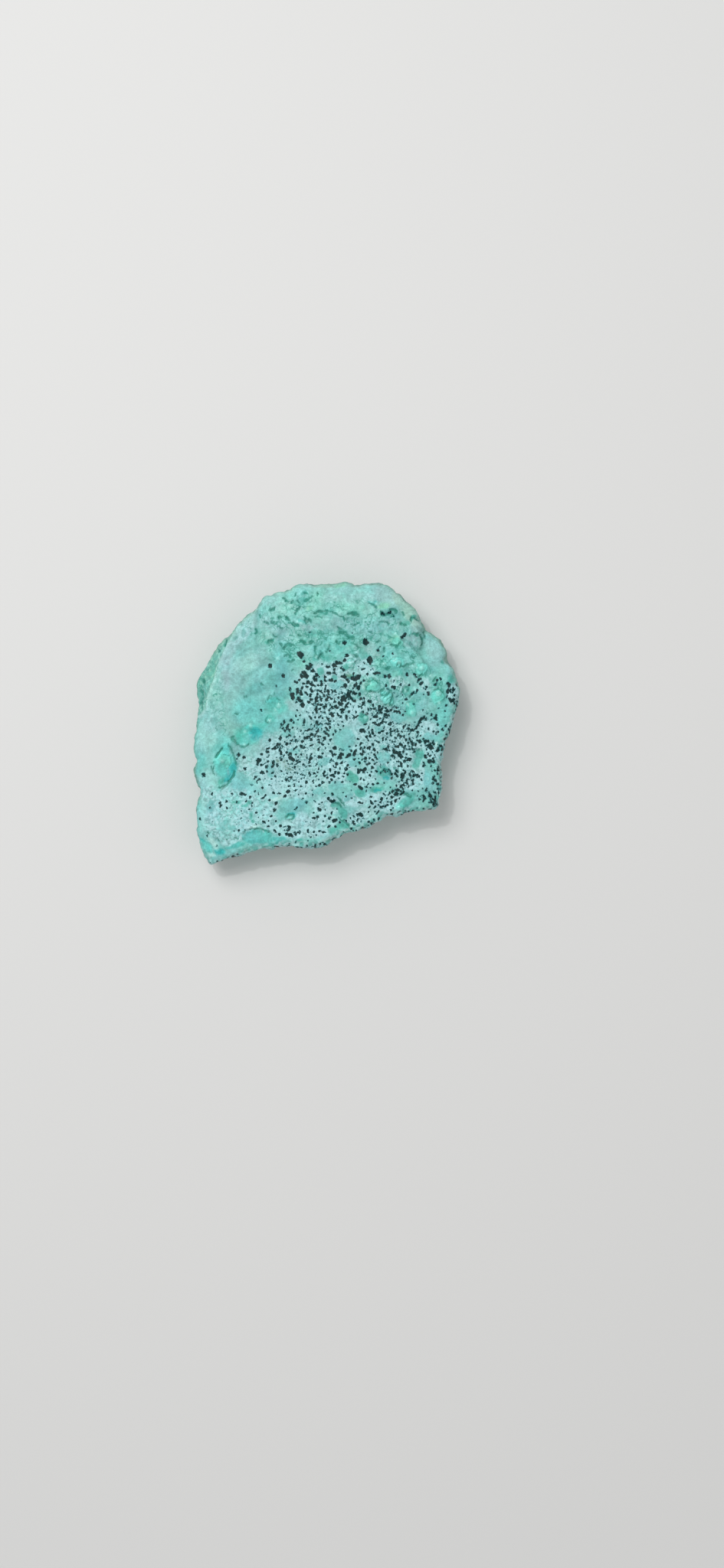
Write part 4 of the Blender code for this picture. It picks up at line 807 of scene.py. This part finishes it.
    (0.31, [(-21.2, -15.9)]), (0.29, [(-25.6, -16.0)]), (0.29, [(-17.1, -16.8)]), (0.31, [(-18.0, -17.6)]), (0.26, [(-22.5, -17.6)]),
    (0.31, [(-24.0, -18.0), (-23.8, -18.5)]), (0.22, [(-22.5, -19.2)]), (0.26, [(-26.1, -19.0)]), (0.29, [(-17.4, -19.4)]),
    (0.22, [(-20.1, -17.9)]), (0.2, [(-14.5, -17.0), (-13.8, -16.5), (-13.7, -15.9)]), (0.22, [(-14.0, -19.7)]),
    (0.22, [(-14.1, -20.7)]), (0.2, [(-15.1, -21.4)]), (0.31, [(-14.0, -22.4)]), (0.22, [(-13.0, -22.1)]), (0.26, [(-25.5, -22.2)]),
    (0.29, [(-28.4, -21.6)]), (0.26, [(-20.8, -24.4)]), (0.31, [(-19.5, -24.3)]), (0.31, [(-18.2, -24.0)]), (0.39, [(-26.8, -25.5)]),
    (0.36, [(-24.9, -27.7)]), (0.2, [(12.6, 24.9), (13.2, 24.3)]), (0.22, [(14.2, 24.7), (14.6, 25.1)]), (0.26, [(15.1, 24.0)]),
]
# Clouds of smaller grains, which fill in between the bold ones:
# (x, y, half length, half width, turn, spacing, radius, share that have a tail)
GRAIN_CLOUDS = [
    (-3.3, 12.0, 2.4, 1.6, -30, 1.05, 0.33, 0.3), (-2.6, 9.6, 3.4, 1.9, 0, 0.98, 0.33, 0.3),
    (2.0, 12.7, 2.8, 1.4, 15, 1.0, 0.33, 0.3), (6.4, 9.4, 2.4, 1.9, 20, 0.9, 0.36, 0.4),
    (-6.4, 6.4, 2.2, 2.2, 40, 1.15, 0.36, 0.3), (1.4, 10.2, 3.4, 1.5, 0, 1.0, 0.32, 0.3),
    (-2.0, 7.0, 3.6, 2.0, -10, 0.86, 0.33, 0.3), (3.4, 7.4, 3.0, 1.6, 0, 0.84, 0.34, 0.4),
    (6.2, 6.6, 2.4, 2.0, -20, 0.84, 0.35, 0.4), (1.2, 5.2, 5.0, 1.8, 0, 0.74, 0.33, 0.4),
    (2.2, 2.7, 4.2, 2.0, 0, 0.78, 0.25, 0.4), (-2.4, 2.6, 2.4, 2.2, 0, 0.85, 0.24, 0.3),
    (-0.4, 0.4, 3.6, 1.8, 10, 0.82, 0.25, 0.4), (5.9, 1.5, 2.4, 1.9, 0, 1.2, 0.2, 0.2),
    (-5.2, 2.8, 1.8, 1.8, 0, 1.2, 0.22, 0.2), (2.4, -1.2, 2.0, 1.2, 0, 1.0, 0.24, 0.3),
    (-7.7, -1.0, 3.4, 2.0, 15, 0.88, 0.25, 0.4), (-3.2, -2.4, 3.4, 2.2, 0, 0.82, 0.26, 0.5),
    (-8.2, -4.4, 3.6, 1.6, 10, 0.84, 0.26, 0.4), (-4.7, -5.6, 5.4, 2.2, 0, 0.8, 0.25, 0.4),
    (-6.6, -8.2, 3.6, 1.5, -15, 0.78, 0.27, 0.5), (-2.2, -8.1, 3.2, 1.9, 0, 0.85, 0.25, 0.4),
    (-12.6, -7.2, 2.6, 2.0, 20, 1.0, 0.26, 0.4), (-13.2, -10.4, 3.2, 2.2, 10, 1.0, 0.25, 0.4),
    (2.9, -6.8, 3.6, 1.6, 15, 1.0, 0.27, 0.4), (0.2, -3.8, 2.2, 2.6, 0, 0.95, 0.24, 0.3),
    (7.4, -6.9, 2.8, 2.2, 0, 0.95, 0.27, 0.4), (8.4, 3.2, 2.2, 2.2, 30, 0.9, 0.26, 0.4),
    (12.9, 2.3, 2.9, 1.8, 0, 0.72, 0.31, 0.5), (16.1, 3.2, 2.2, 1.2, -10, 0.77, 0.29, 0.5),
    (11.6, -1.4, 3.0, 2.4, 0, 0.77, 0.27, 0.4), (15.6, -1.6, 2.8, 2.6, 0, 0.72, 0.27, 0.4),
    (19.4, -2.2, 2.4, 2.4, 0, 0.77, 0.29, 0.4), (12.6, -4.8, 4.4, 2.0, 0, 0.77, 0.28, 0.4),
    (17.4, -5.6, 3.0, 2.4, 0, 0.74, 0.29, 0.4), (15.8, -8.6, 3.6, 1.8, 0, 0.77, 0.29, 0.4),
    (10.2, -7.6, 2.2, 2.0, 60, 0.83, 0.28, 0.4), (9.5, -10.9, 2.8, 1.8, 0, 1.0, 0.26, 0.3),
    (18.0, -12.4, 2.6, 2.0, 0, 0.74, 0.29, 0.5), (15.4, -11.2, 2.4, 1.4, 0, 0.81, 0.28, 0.4),
    (15.9, -15.2, 2.9, 1.4, 30, 0.77, 0.27, 0.5), (13.0, -17.8, 3.4, 1.5, 15, 0.85, 0.25, 0.4),
    (8.9, -14.2, 3.0, 1.4, 0, 1.1, 0.27, 0.3), (9.4, -20.2, 3.0, 1.0, 12, 1.0, 0.25, 0.4),
    (6.8, -21.6, 1.8, 1.3, 20, 0.85, 0.24, 0.4), (4.6, -22.6, 2.4, 0.9, 15, 1.0, 0.22, 0.3),
    (0.9, -20.3, 3.6, 1.8, 0, 1.15, 0.22, 0.3), (0.2, -23.6, 2.8, 1.3, 0, 1.0, 0.24, 0.3),
    (-3.1, -21.4, 2.2, 1.8, 0, 1.05, 0.22, 0.3), (-6.4, -24.8, 4.2, 1.1, 0, 1.1, 0.22, 0.4),
    (-9.6, -24.2, 2.0, 1.0, 0, 1.0, 0.24, 0.3), (-7.5, -11.6, 5.4, 2.2, 0, 0.84, 0.2, 0.3),
    (-8.3, -14.8, 4.6, 1.7, 0, 0.9, 0.18, 0.3), (-13.6, -14.0, 3.6, 2.4, 0, 1.1, 0.22, 0.3),
    (-1.6, -11.6, 2.8, 2.6, 0, 0.88, 0.24, 0.3), (2.7, -10.9, 3.6, 2.4, 0, 0.92, 0.26, 0.3),
    (-3.4, -16.6, 3.2, 1.6, 0, 1.2, 0.2, 0.2), (4.9, -14.6, 2.6, 2.0, 0, 1.4, 0.22, 0.2),
    (-13.0, -20.6, 3.2, 2.6, 0, 1.3, 0.22, 0.3), (-10.1, -18.6, 4.2, 1.6, 0, 1.6, 0.2, 0.2),
    (-17.6, -16.6, 3.0, 1.8, 0, 1.35, 0.22, 0.3), (-21.6, -18.2, 5.6, 3.2, 0, 1.75, 0.17, 0.2),
    (-19.4, -22.4, 5.0, 2.4, 0, 1.85, 0.17, 0.2), (-19.9, -9.2, 2.4, 3.0, 0, 1.7, 0.2, 0.2),
    (12.5, 11.0, 2.6, 0.6, -8, 0.9, 0.28, 0.3), (18.5, 11.1, 1.6, 0.5, 0, 1.0, 0.27, 0.2),
    (21.4, 9.0, 2.4, 0.9, -55, 0.9, 0.28, 0.4), (22.5, 6.6, 1.0, 1.1, 0, 0.95, 0.28, 0.4),
    (15.6, 7.8, 2.6, 2.0, 0, 1.3, 0.24, 0.2), (18.8, 5.4, 2.4, 2.2, 0, 1.4, 0.24, 0.2),
    (19.9, 3.4, 2.4, 1.6, 0, 1.44, 0.25, 0.2), (23.8, 1.3, 1.7, 1.1, -35, 0.85, 0.29, 0.4),
    (28.4, 6.3, 1.3, 2.4, 10, 0.82, 0.3, 0.5), (27.6, -0.6, 1.4, 1.1, 0, 0.9, 0.29, 0.3),
    (24.9, -1.2, 1.4, 1.2, 0, 1.08, 0.27, 0.2), (22.3, -4.3, 2.6, 0.9, 0, 0.9, 0.29, 0.3),
    (23.9, -6.2, 1.6, 2.4, -20, 0.77, 0.29, 0.5), (24.2, -9.2, 1.0, 1.8, 0, 0.81, 0.29, 0.4),
    (22.1, -9.6, 1.0, 2.4, 0, 1.08, 0.27, 0.2), (21.3, -14.0, 1.4, 1.8, 0, 1.03, 0.24, 0.2),
    (21.9, -16.6, 1.5, 1.4, 0, 0.79, 0.26, 0.5), (23.9, -17.1, 1.0, 1.9, 0, 0.77, 0.28, 0.5),
    (24.9, -12.6, 0.9, 3.4, 0, 0.9, 0.28, 0.4), (4.6, 17.4, 6.5, 3.5, 0, 2.6, 0.18, 0.2),
    (8.6, 12.6, 2.2, 1.6, 0, 1.2, 0.24, 0.2), (-10.6, -0.4, 2.0, 1.6, 0, 1.6, 0.22, 0.2),
    (-3.0, -27.2, 7.0, 1.0, 3, 1.1, 0.24, 0.3), (9.0, -23.2, 7.0, 1.0, 22, 1.0, 0.25, 0.4),
    (18.0, -20.3, 5.0, 0.9, 8, 1.1, 0.25, 0.4), (25.8, -12.0, 0.8, 7.0, 0, 0.9, 0.28, 0.4),
    (27.6, -2.6, 0.9, 4.0, -20, 0.99, 0.28, 0.3), (29.2, 5.0, 0.7, 4.0, 0, 1.1, 0.28, 0.4),
    (24.6, 9.6, 1.5, 1.0, 0, 1.1, 0.27, 0.3), (26.0, 3.0, 1.2, 2.2, 0, 1.26, 0.26, 0.3), (20.6, 7.2, 1.3, 1.3, 0, 1.0, 0.28, 0.4),
]
CLEAR_COLOURS = ("flat turquoise", "green", "soft green", "pool green", "clear pool", "cyan")
CLEAR_SHARE = 0.95
BEAD_STEP = 0.25
BEAD_CHANGE = 0.35
BEAD_WANDER = 0.13
BEAD_MISSING = 0.14
TRIES_PER_GRAIN = 30
CELL = 2.0
TAIL_STEP = 0.36
TAIL_CURL = 1.1
TAIL_LENGTHS = [1, 1, 1, 2, 2]
GRAIN_SIZES = [0.65, 0.75, 0.85, 1.0, 1.1, 1.2, 1.35]
CLUMP_SIZE = 1.8
CLUMP_GAPS = -0.2
GRAIN_PIT = 0.07
DENSE_SPACING = 0.86
GRAIN_REACH = 0.6
SIDE_CLOUD_SIZE = 4.0
SIDE_CLOUD_GAPS = -0.35
chance = np.random.default_rng(11)
clear_zones = [form for name, *_, places in COLOUR_ZONES if name in CLEAR_COLOURS for form in places]
clear_zones += LOW_KNOBS[:RING_KNOBS]


def beads(radius, line):
    """A bold grain as small round ones in a row along its line."""
    line = np.array(line)
    steps = [line[:1]]
    for start, end in zip(line, line[1:]):
        count = max(1, round(math.dist(start, end) / BEAD_STEP))
        steps.append(start + (end - start) * (np.arange(1, count + 1) / count)[:, None])
    points = np.concatenate(steps)
    points += BEAD_WANDER * chance.uniform(-1, 1, points.shape)
    sizes = radius * (1 + BEAD_CHANGE * chance.uniform(-1, 1, len(points)))
    kept = (chance.random(len(points)) > BEAD_MISSING) | (len(points) < 4)
    return np.column_stack([points, sizes])[kept].tolist()


def place_in(form, u, v):
    turn = math.radians(form[4])
    along, across = form[2] * u, form[3] * v
    return (
        form[0] + along * math.cos(turn) - across * math.sin(turn),
        form[1] + along * math.sin(turn) + across * math.cos(turn),
    )


def with_tail(place, radius):
    """A grain and the smaller grains of its tail."""
    heading = chance.uniform(0, math.tau)
    grains = [(*place, radius)]
    for _ in range(chance.choice(TAIL_LENGTHS)):
        gx, gy, _ = grains[-1]
        size, step = radius * chance.uniform(0.55, 1.05), TAIL_STEP * chance.uniform(0.7, 1.4)
        grains.append((gx + step * math.cos(heading), gy + step * math.sin(heading), size))
        heading += chance.uniform(-TAIL_CURL, TAIL_CURL)
    return grains


def all_grains():
    """The bold grains, then each cloud's grains, every one its cloud's spacing away from all before it."""
    settled = {}

    def settle(grain):
        settled.setdefault((grain[0] // CELL, grain[1] // CELL), []).append(grain)

    def crowded(place, spacing):
        column, row = place[0] // CELL, place[1] // CELL
        near = (g for i in (-1, 0, 1) for j in (-1, 0, 1) for g in settled.get((column + i, row + j), []))
        return any(math.dist(place, g[:2]) < spacing for g in near)

    for bold in BOLD_GRAINS:
        for bead in beads(*bold):
            settle(bead)
    for cloud in GRAIN_CLOUDS:
        spacing, radius, tailed = cloud[5:]
        for _ in range(int(TRIES_PER_GRAIN * cloud[2] * cloud[3] / spacing**2)):
            u, v = chance.uniform(-1, 1, 2)
            place = place_in(cloud, u, v)
            if math.hypot(u, v) > chance.uniform(0.85, 1.15) or crowded(place, spacing * chance.uniform(0.75, 1.15)):
                continue
            if noise.noise(Vector((*place, 0)) / CLUMP_SIZE) < CLUMP_GAPS:
                continue
            if any(form_share(form, *place) < CLEAR_SHARE for form in clear_zones):
                continue
            size = radius * chance.choice(GRAIN_SIZES)
            for grain in with_tail(place, size) if chance.random() < tailed else [(*place, size)]:
                settle(grain)
    return [grain for cell in settled.values() for grain in cell]


def grown(points):
    """The places in a tree that finds the ones near a point."""
    tree = kdtree.KDTree(len(points))
    for number, point in enumerate(points.tolist()):
        tree.insert(point, number)
    tree.balance()
    return tree


def press(grains, points, numbers):
    """Marks how far each of these points of the slab lies inside a grain."""
    tree = grown(points)
    for gx, gy, gz, radius in grains:
        for _, found, distance in tree.find_range((gx, gy, gz), radius + GRAIN_REACH):
            grain_depth[numbers[found]] = max(grain_depth[numbers[found]], radius - distance)


grain_depth = np.full(len(x), -GRAIN_REACH)
upper = np.flatnonzero(faces_up > 0.02)
press([(gx, gy, 0.0, radius) for gx, gy, radius in all_grains()], flat(wander_x, wander_y)[upper], upper)
side_cloud = smoothstep(SIDE_CLOUD_GAPS, SIDE_CLOUD_GAPS + 0.2, lumps(slab_places, SIDE_CLOUD_SIZE, 80.0))
side_cloud *= smoothstep(0.1, 0.6, side_on) * broken * (1 - under)
relief -= GRAIN_PIT * smoothstep(-0.1, 0.1, grain_depth)

# The wet look: pure chrysocolla is glassy where it shows, on the knobs, in the pool and in the pits, and
# satin everywhere else. Its smallest beads stand proud and glint, as (x, y, radius), and each also gets a
# painted glint: its middle is painted pale.
GLASSY_BEADS = [
    (-10.7, 3.8, 0.7), (-11.5, 3.0, 0.45), (-12.7, 0.6, 0.6), (-17.0, -0.6, 0.55), (-18.3, -1.9, 0.5),
    (-18.4, -4.8, 0.4), (-8.0, -21.3, 0.55), (5.5, 13.4, 0.8), (21.5, 12.4, 0.7), (25.2, 6.6, 0.8),
    (25.4, 4.6, 0.5), (10.4, 27.6, 0.7), (11.4, 27.0, 0.4), (-10.9, 14.5, 0.5), (-6.6, 22.8, 0.5),
    (-5.6, 22.6, 0.4), (-26.6, 9.4, 0.6), (15.6, 20.1, 0.4), (13.1, 13.3, 0.55), (16.4, 13.6, 0.55),
    (12.6, 4.4, 0.5), (13.9, 4.1, 0.4), (-23.4, -8.6, 0.6), (16.3, -19.1, 0.5), (-5.7, 6.2, 0.35),
    (4.2, -24.2, 0.4), (24.9, -4.9, 0.4), (17.9, 7.2, 0.5), (9.9, 8.9, 0.45), (8.9, 1.2, 0.5), (19.3, 2.3, 0.5),
    (-15.9, 25.8, 0.4), (2.2, 28.4, 0.4), (-2.2, 14.9, 0.5), (-25.7, -29.6, 0.5), (-21.7, -24.6, 0.4),
    (22.9, -12.6, 0.4), (12.2, -10.3, 0.5), (-4.2, 18.2, 0.4), (23.6, 10.6, 0.45),
]
BEAD_HEIGHT = 0.28
BEAD_GLINT = (0.42, 0.86, 0.8)
SATIN = 0.5
GLASSY = 0.12
bead_x, bead_y, bead_size = np.array(GLASSY_BEADS).T[:, :, None]
bead_share = np.hypot(x - bead_x, y - bead_y) / bead_size
bead = np.max(np.clip(1 - bead_share**2, 0, 1), axis=0) * faces_up
relief += BEAD_HEIGHT * np.max(bead_size * np.clip(1 - bead_share**2, 0, 1), axis=0) * faces_up
# Painted glint: the beads' middles painted pale.
lay(BEAD_GLINT, 0.6 * bead)
pools = most(zone_shares[name] for name in ("pool green", "clear pool", "cyan"))
glassy = np.clip(0.8 * knob + 0.6 * pools + 0.5 * pit, 0, 1)
glassy = np.maximum(glassy, smoothstep(0, 0.3, bead))

slab_places += outward * relief[:, None]
slab_places[:, 2] = np.maximum(slab_places[:, 2], 0)
slab.vertices.foreach_set("co", (slab_places * MM).ravel())
slab.update()
dense = [cloud for cloud in GRAIN_CLOUDS if cloud[5] < DENSE_SPACING]
sooty = most(smoothstep(1.3, 0.7, form_share(cloud, wander_x, wander_y)) for cloud in dense) * faces_up
milky = zone_shares["white matrix"] * (1 - 0.7 * zone_shares["flat turquoise"]) * (1 - zone_shares["green"])
shares = {
    "grain depth": grain_depth, "side grains": side_cloud, "glassy": glassy, "crusty": lumpy * (1 - knob), "sooty": sooty,
    "milky": np.maximum(milky, 0.8 * shelter * broken),
}
for name, values in shares.items():
    slab.attributes.new(name, "FLOAT", "POINT").data.foreach_set("value", values.astype(np.float32))
colour_field = slab.attributes.new("stone colour", "FLOAT_COLOR", "POINT")
opaque = np.ones((len(x), 1))
colour_field.data.foreach_set("color", np.concatenate([np.clip(stone_colour, 0, 1), opaque], 1).ravel())

# The stone's surface: its colours as laid above, painted highlights and painted shade among them, with the
# black grains cut into them and a fine mottle of crystals too small to see one by one.
GRAIN_BLACK = (0.0, 0.028, 0.028, 1)
GRAIN_EDGE = 0.05
SIDE_GRAIN_SPACING = 0.95
SIDE_GRAIN_RADIUS = 0.36
FLECK_WHITE = (0.54, 0.87, 0.91, 1)
VEIN_GREEN = (0.045, 0.32, 0.25, 1)
GRAIN_RIM_TEAL = (0.04, 0.26, 0.27, 1)
MOTTLES = [(0.9, 2.0, 0.3, 0.7, 0.86, 1.14), (0.4, 2.0, 0.35, 0.65, 0.89, 1.11)]

chrysocolla = bpy.data.materials.new("chrysocolla")
chrysocolla.use_nodes = True
nodes, links = chrysocolla.node_tree.nodes, chrysocolla.node_tree.links
surface = nodes["Principled BSDF"]
surface.inputs["Specular IOR Level"].default_value = 0.25
position = nodes.new("ShaderNodeTexCoord").outputs["Object"]


def stored(name):
    node = nodes.new("ShaderNodeAttribute")
    node.attribute_name = name
    return node


def speckle(size_mm, detail=2.0):
    node = nodes.new("ShaderNodeTexNoise")
    node.inputs["Scale"].default_value = 1 / (size_mm * MM)
    node.inputs["Detail"].default_value = detail
    links.new(position, node.inputs["Vector"])
    return node.outputs["Fac"]


def spread(value, low, high, to_low, to_high):
    node = nodes.new("ShaderNodeMapRange")
    for socket, number in zip(node.inputs[1:5], (low, high, to_low, to_high)):
        socket.default_value = number
    links.new(value, node.inputs["Value"])
    return node.outputs["Result"]


def arithmetic(operation, *values, add=0.0):
    node = nodes.new("ShaderNodeMath")
    node.operation = operation
    node.inputs[2].default_value = add
    for socket, value in zip(node.inputs, values):
        links.new(value, socket)
    return node.outputs["Value"]


def laid(under_colour, colour, share):
    """A colour laid over another with this share."""
    node = nodes.new("ShaderNodeMix")
    node.data_type = "RGBA"
    node.inputs["B"].default_value = colour
    links.new(share, node.inputs["Factor"])
    links.new(under_colour, node.inputs["A"])
    return node.outputs["Result"]


def scaled(colour, tone):
    """A colour times a tone that is the same for red, green and blue."""
    node = nodes.new("ShaderNodeVectorMath")
    node.operation = "SCALE"
    links.new(colour, node.inputs["Vector"])
    links.new(tone, node.inputs["Scale"])
    return node.outputs["Vector"]


side_cells = nodes.new("ShaderNodeTexVoronoi")
side_cells.inputs["Scale"].default_value = 1 / (SIDE_GRAIN_SPACING * MM)
links.new(position, side_cells.inputs["Vector"])
side_depth = spread(side_cells.outputs["Distance"], 0.0, 0.8, SIDE_GRAIN_RADIUS, SIDE_GRAIN_RADIUS - 0.8 * SIDE_GRAIN_SPACING)
side_depth = arithmetic("ADD", side_depth, spread(stored("side grains").outputs["Fac"], 0.0, 1.0, -GRAIN_REACH, 0.0))
all_depth = arithmetic("MAXIMUM", stored("grain depth").outputs["Fac"], side_depth)

mottled = stored("stone colour").outputs["Color"]
for size, detail, *span in MOTTLES:
    mottled = scaled(mottled, spread(speckle(size, detail), *span))
ragged_depth = arithmetic("ADD", all_depth, spread(speckle(0.4), 0.3, 0.7, -0.17, 0.13))
milky_share = stored("milky").outputs["Fac"]
mottled = scaled(mottled, arithmetic("MULTIPLY_ADD", spread(speckle(0.7), 0.42, 0.58, -0.3, 0.06), milky_share, add=1.0))
fleck = spread(speckle(0.6, 1.0), 0.52, 0.6, 0.0, 0.55)
beside_grain = spread(ragged_depth, -0.34, -0.14, 0.0, 0.6)
fleck = arithmetic("MAXIMUM", fleck, spread(speckle(1.7, 2.0), 0.53, 0.6, 0.0, 0.5))
white_share = arithmetic("MULTIPLY", arithmetic("MAXIMUM", fleck, beside_grain), milky_share)
mottled = laid(mottled, FLECK_WHITE, white_share)
vein_line = arithmetic("ABSOLUTE", spread(speckle(1.3, 1.0), 0.0, 1.0, -1.0, 1.0))
vein = spread(vein_line, 0.03, 0.09, 0.85, 0.0)
vein_here = arithmetic("MULTIPLY", spread(speckle(3.0, 1.0), 0.47, 0.55, 0.0, 1.0), stored("crusty").outputs["Fac"])
mottled = laid(mottled, VEIN_GREEN, arithmetic("MULTIPLY", vein, vein_here))
soot = arithmetic("MULTIPLY", spread(speckle(0.32, 1.0), 0.55, 0.63, 0.0, 0.6), stored("sooty").outputs["Fac"])
mottled = laid(mottled, GRAIN_RIM_TEAL, arithmetic("MAXIMUM", soot, spread(ragged_depth, -0.12, -0.02, 0.0, 0.85)))
speckled = laid(mottled, GRAIN_BLACK, spread(ragged_depth, -GRAIN_EDGE, GRAIN_EDGE, 0.0, 1.0))
links.new(speckled, surface.inputs["Base Color"])
dullness = spread(stored("glassy").outputs["Fac"], 0.0, 1.0, SATIN, GLASSY)
links.new(dullness, surface.inputs["Roughness"])
grain_bump = nodes.new("ShaderNodeBump")
grain_bump.inputs["Strength"].default_value = 0.6
grain_bump.inputs["Distance"].default_value = 0.06 * MM
links.new(speckle(0.45, 3.0), grain_bump.inputs["Height"])
links.new(grain_bump.outputs["Normal"], surface.inputs["Normal"])
slab.materials.append(chrysocolla)

stone = bpy.data.objects.new("stone", slab)
bpy.context.scene.collection.objects.link(stone)
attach(stone, "root")
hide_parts("chrysocolla_stone")

# The floor: a plain pale sheet that the stone lies on.
floor_mesh = bpy.data.meshes.new("floor")
FLOOR_HALF = 2.0
floor_mesh.from_pydata(
    [(-FLOOR_HALF, -FLOOR_HALF, 0), (FLOOR_HALF, -FLOOR_HALF, 0), (FLOOR_HALF, FLOOR_HALF, 0), (-FLOOR_HALF, FLOOR_HALF, 0)],
    [],
    [(0, 1, 2, 3)],
)
floor = bpy.data.objects.new("floor", floor_mesh)
bpy.context.scene.collection.objects.link(floor)
floor_paint = bpy.data.materials.new("floor_paint")
floor_paint.use_nodes = True
floor_paint.node_tree.nodes["Principled BSDF"].inputs["Base Color"].default_value = (0.78, 0.78, 0.77, 1)
floor_paint.node_tree.nodes["Principled BSDF"].inputs["Roughness"].default_value = 0.9
floor_mesh.materials.append(floor_paint)

# The light: a wide soft lamp over the stone, a small bright one for the glints on its glassy spots, and a
# pale room all round. As (name, size, power, place), in metres and watts.
LAMPS = [("key", 0.5, 2.7, (-0.25, 0.3, 0.7)), ("glint", 0.03, 0.45, (-0.16, 0.2, 0.6))]
for name, size, power, place in LAMPS:
    lamp = bpy.data.lights.new(name, "AREA")
    lamp.shape = "DISK"
    lamp.size = size
    lamp.energy = power
    stand = bpy.data.objects.new(name, lamp)
    stand.location = place
    stand.rotation_euler = Vector(place).to_track_quat("Z", "Y").to_euler()
    bpy.context.scene.collection.objects.link(stand)
room = bpy.data.worlds.new("room")
room.use_nodes = True
room.node_tree.nodes["Background"].inputs["Color"].default_value = (1, 1, 1, 1)
room.node_tree.nodes["Background"].inputs["Strength"].default_value = 0.5
bpy.context.scene.world = room
bpy.context.scene.view_settings.view_transform = "Standard"

# The camera: straight above the stone, looking down on its face.
PICTURE_WIDTH, PICTURE_HEIGHT = 945, 2048
PIXELS_PER_MM = 5.77
STONE_PIXEL = (426.0, 944.7)
VIEW_HEIGHT = 600.0
RIM_HEIGHT = 9.5
SENSOR = 36.0
camera = bpy.data.cameras.new("camera")
camera.sensor_width = SENSOR
camera.lens = SENSOR * PIXELS_PER_MM * (VIEW_HEIGHT - RIM_HEIGHT) / PICTURE_HEIGHT
camera_stand = bpy.data.objects.new("camera", camera)
camera_stand.location = (
    (PICTURE_WIDTH / 2 - STONE_PIXEL[0]) / PIXELS_PER_MM * MM,
    (STONE_PIXEL[1] - PICTURE_HEIGHT / 2) / PIXELS_PER_MM * MM,
    VIEW_HEIGHT * MM,
)
bpy.context.scene.collection.objects.link(camera_stand)
bpy.context.scene.camera = camera_stand
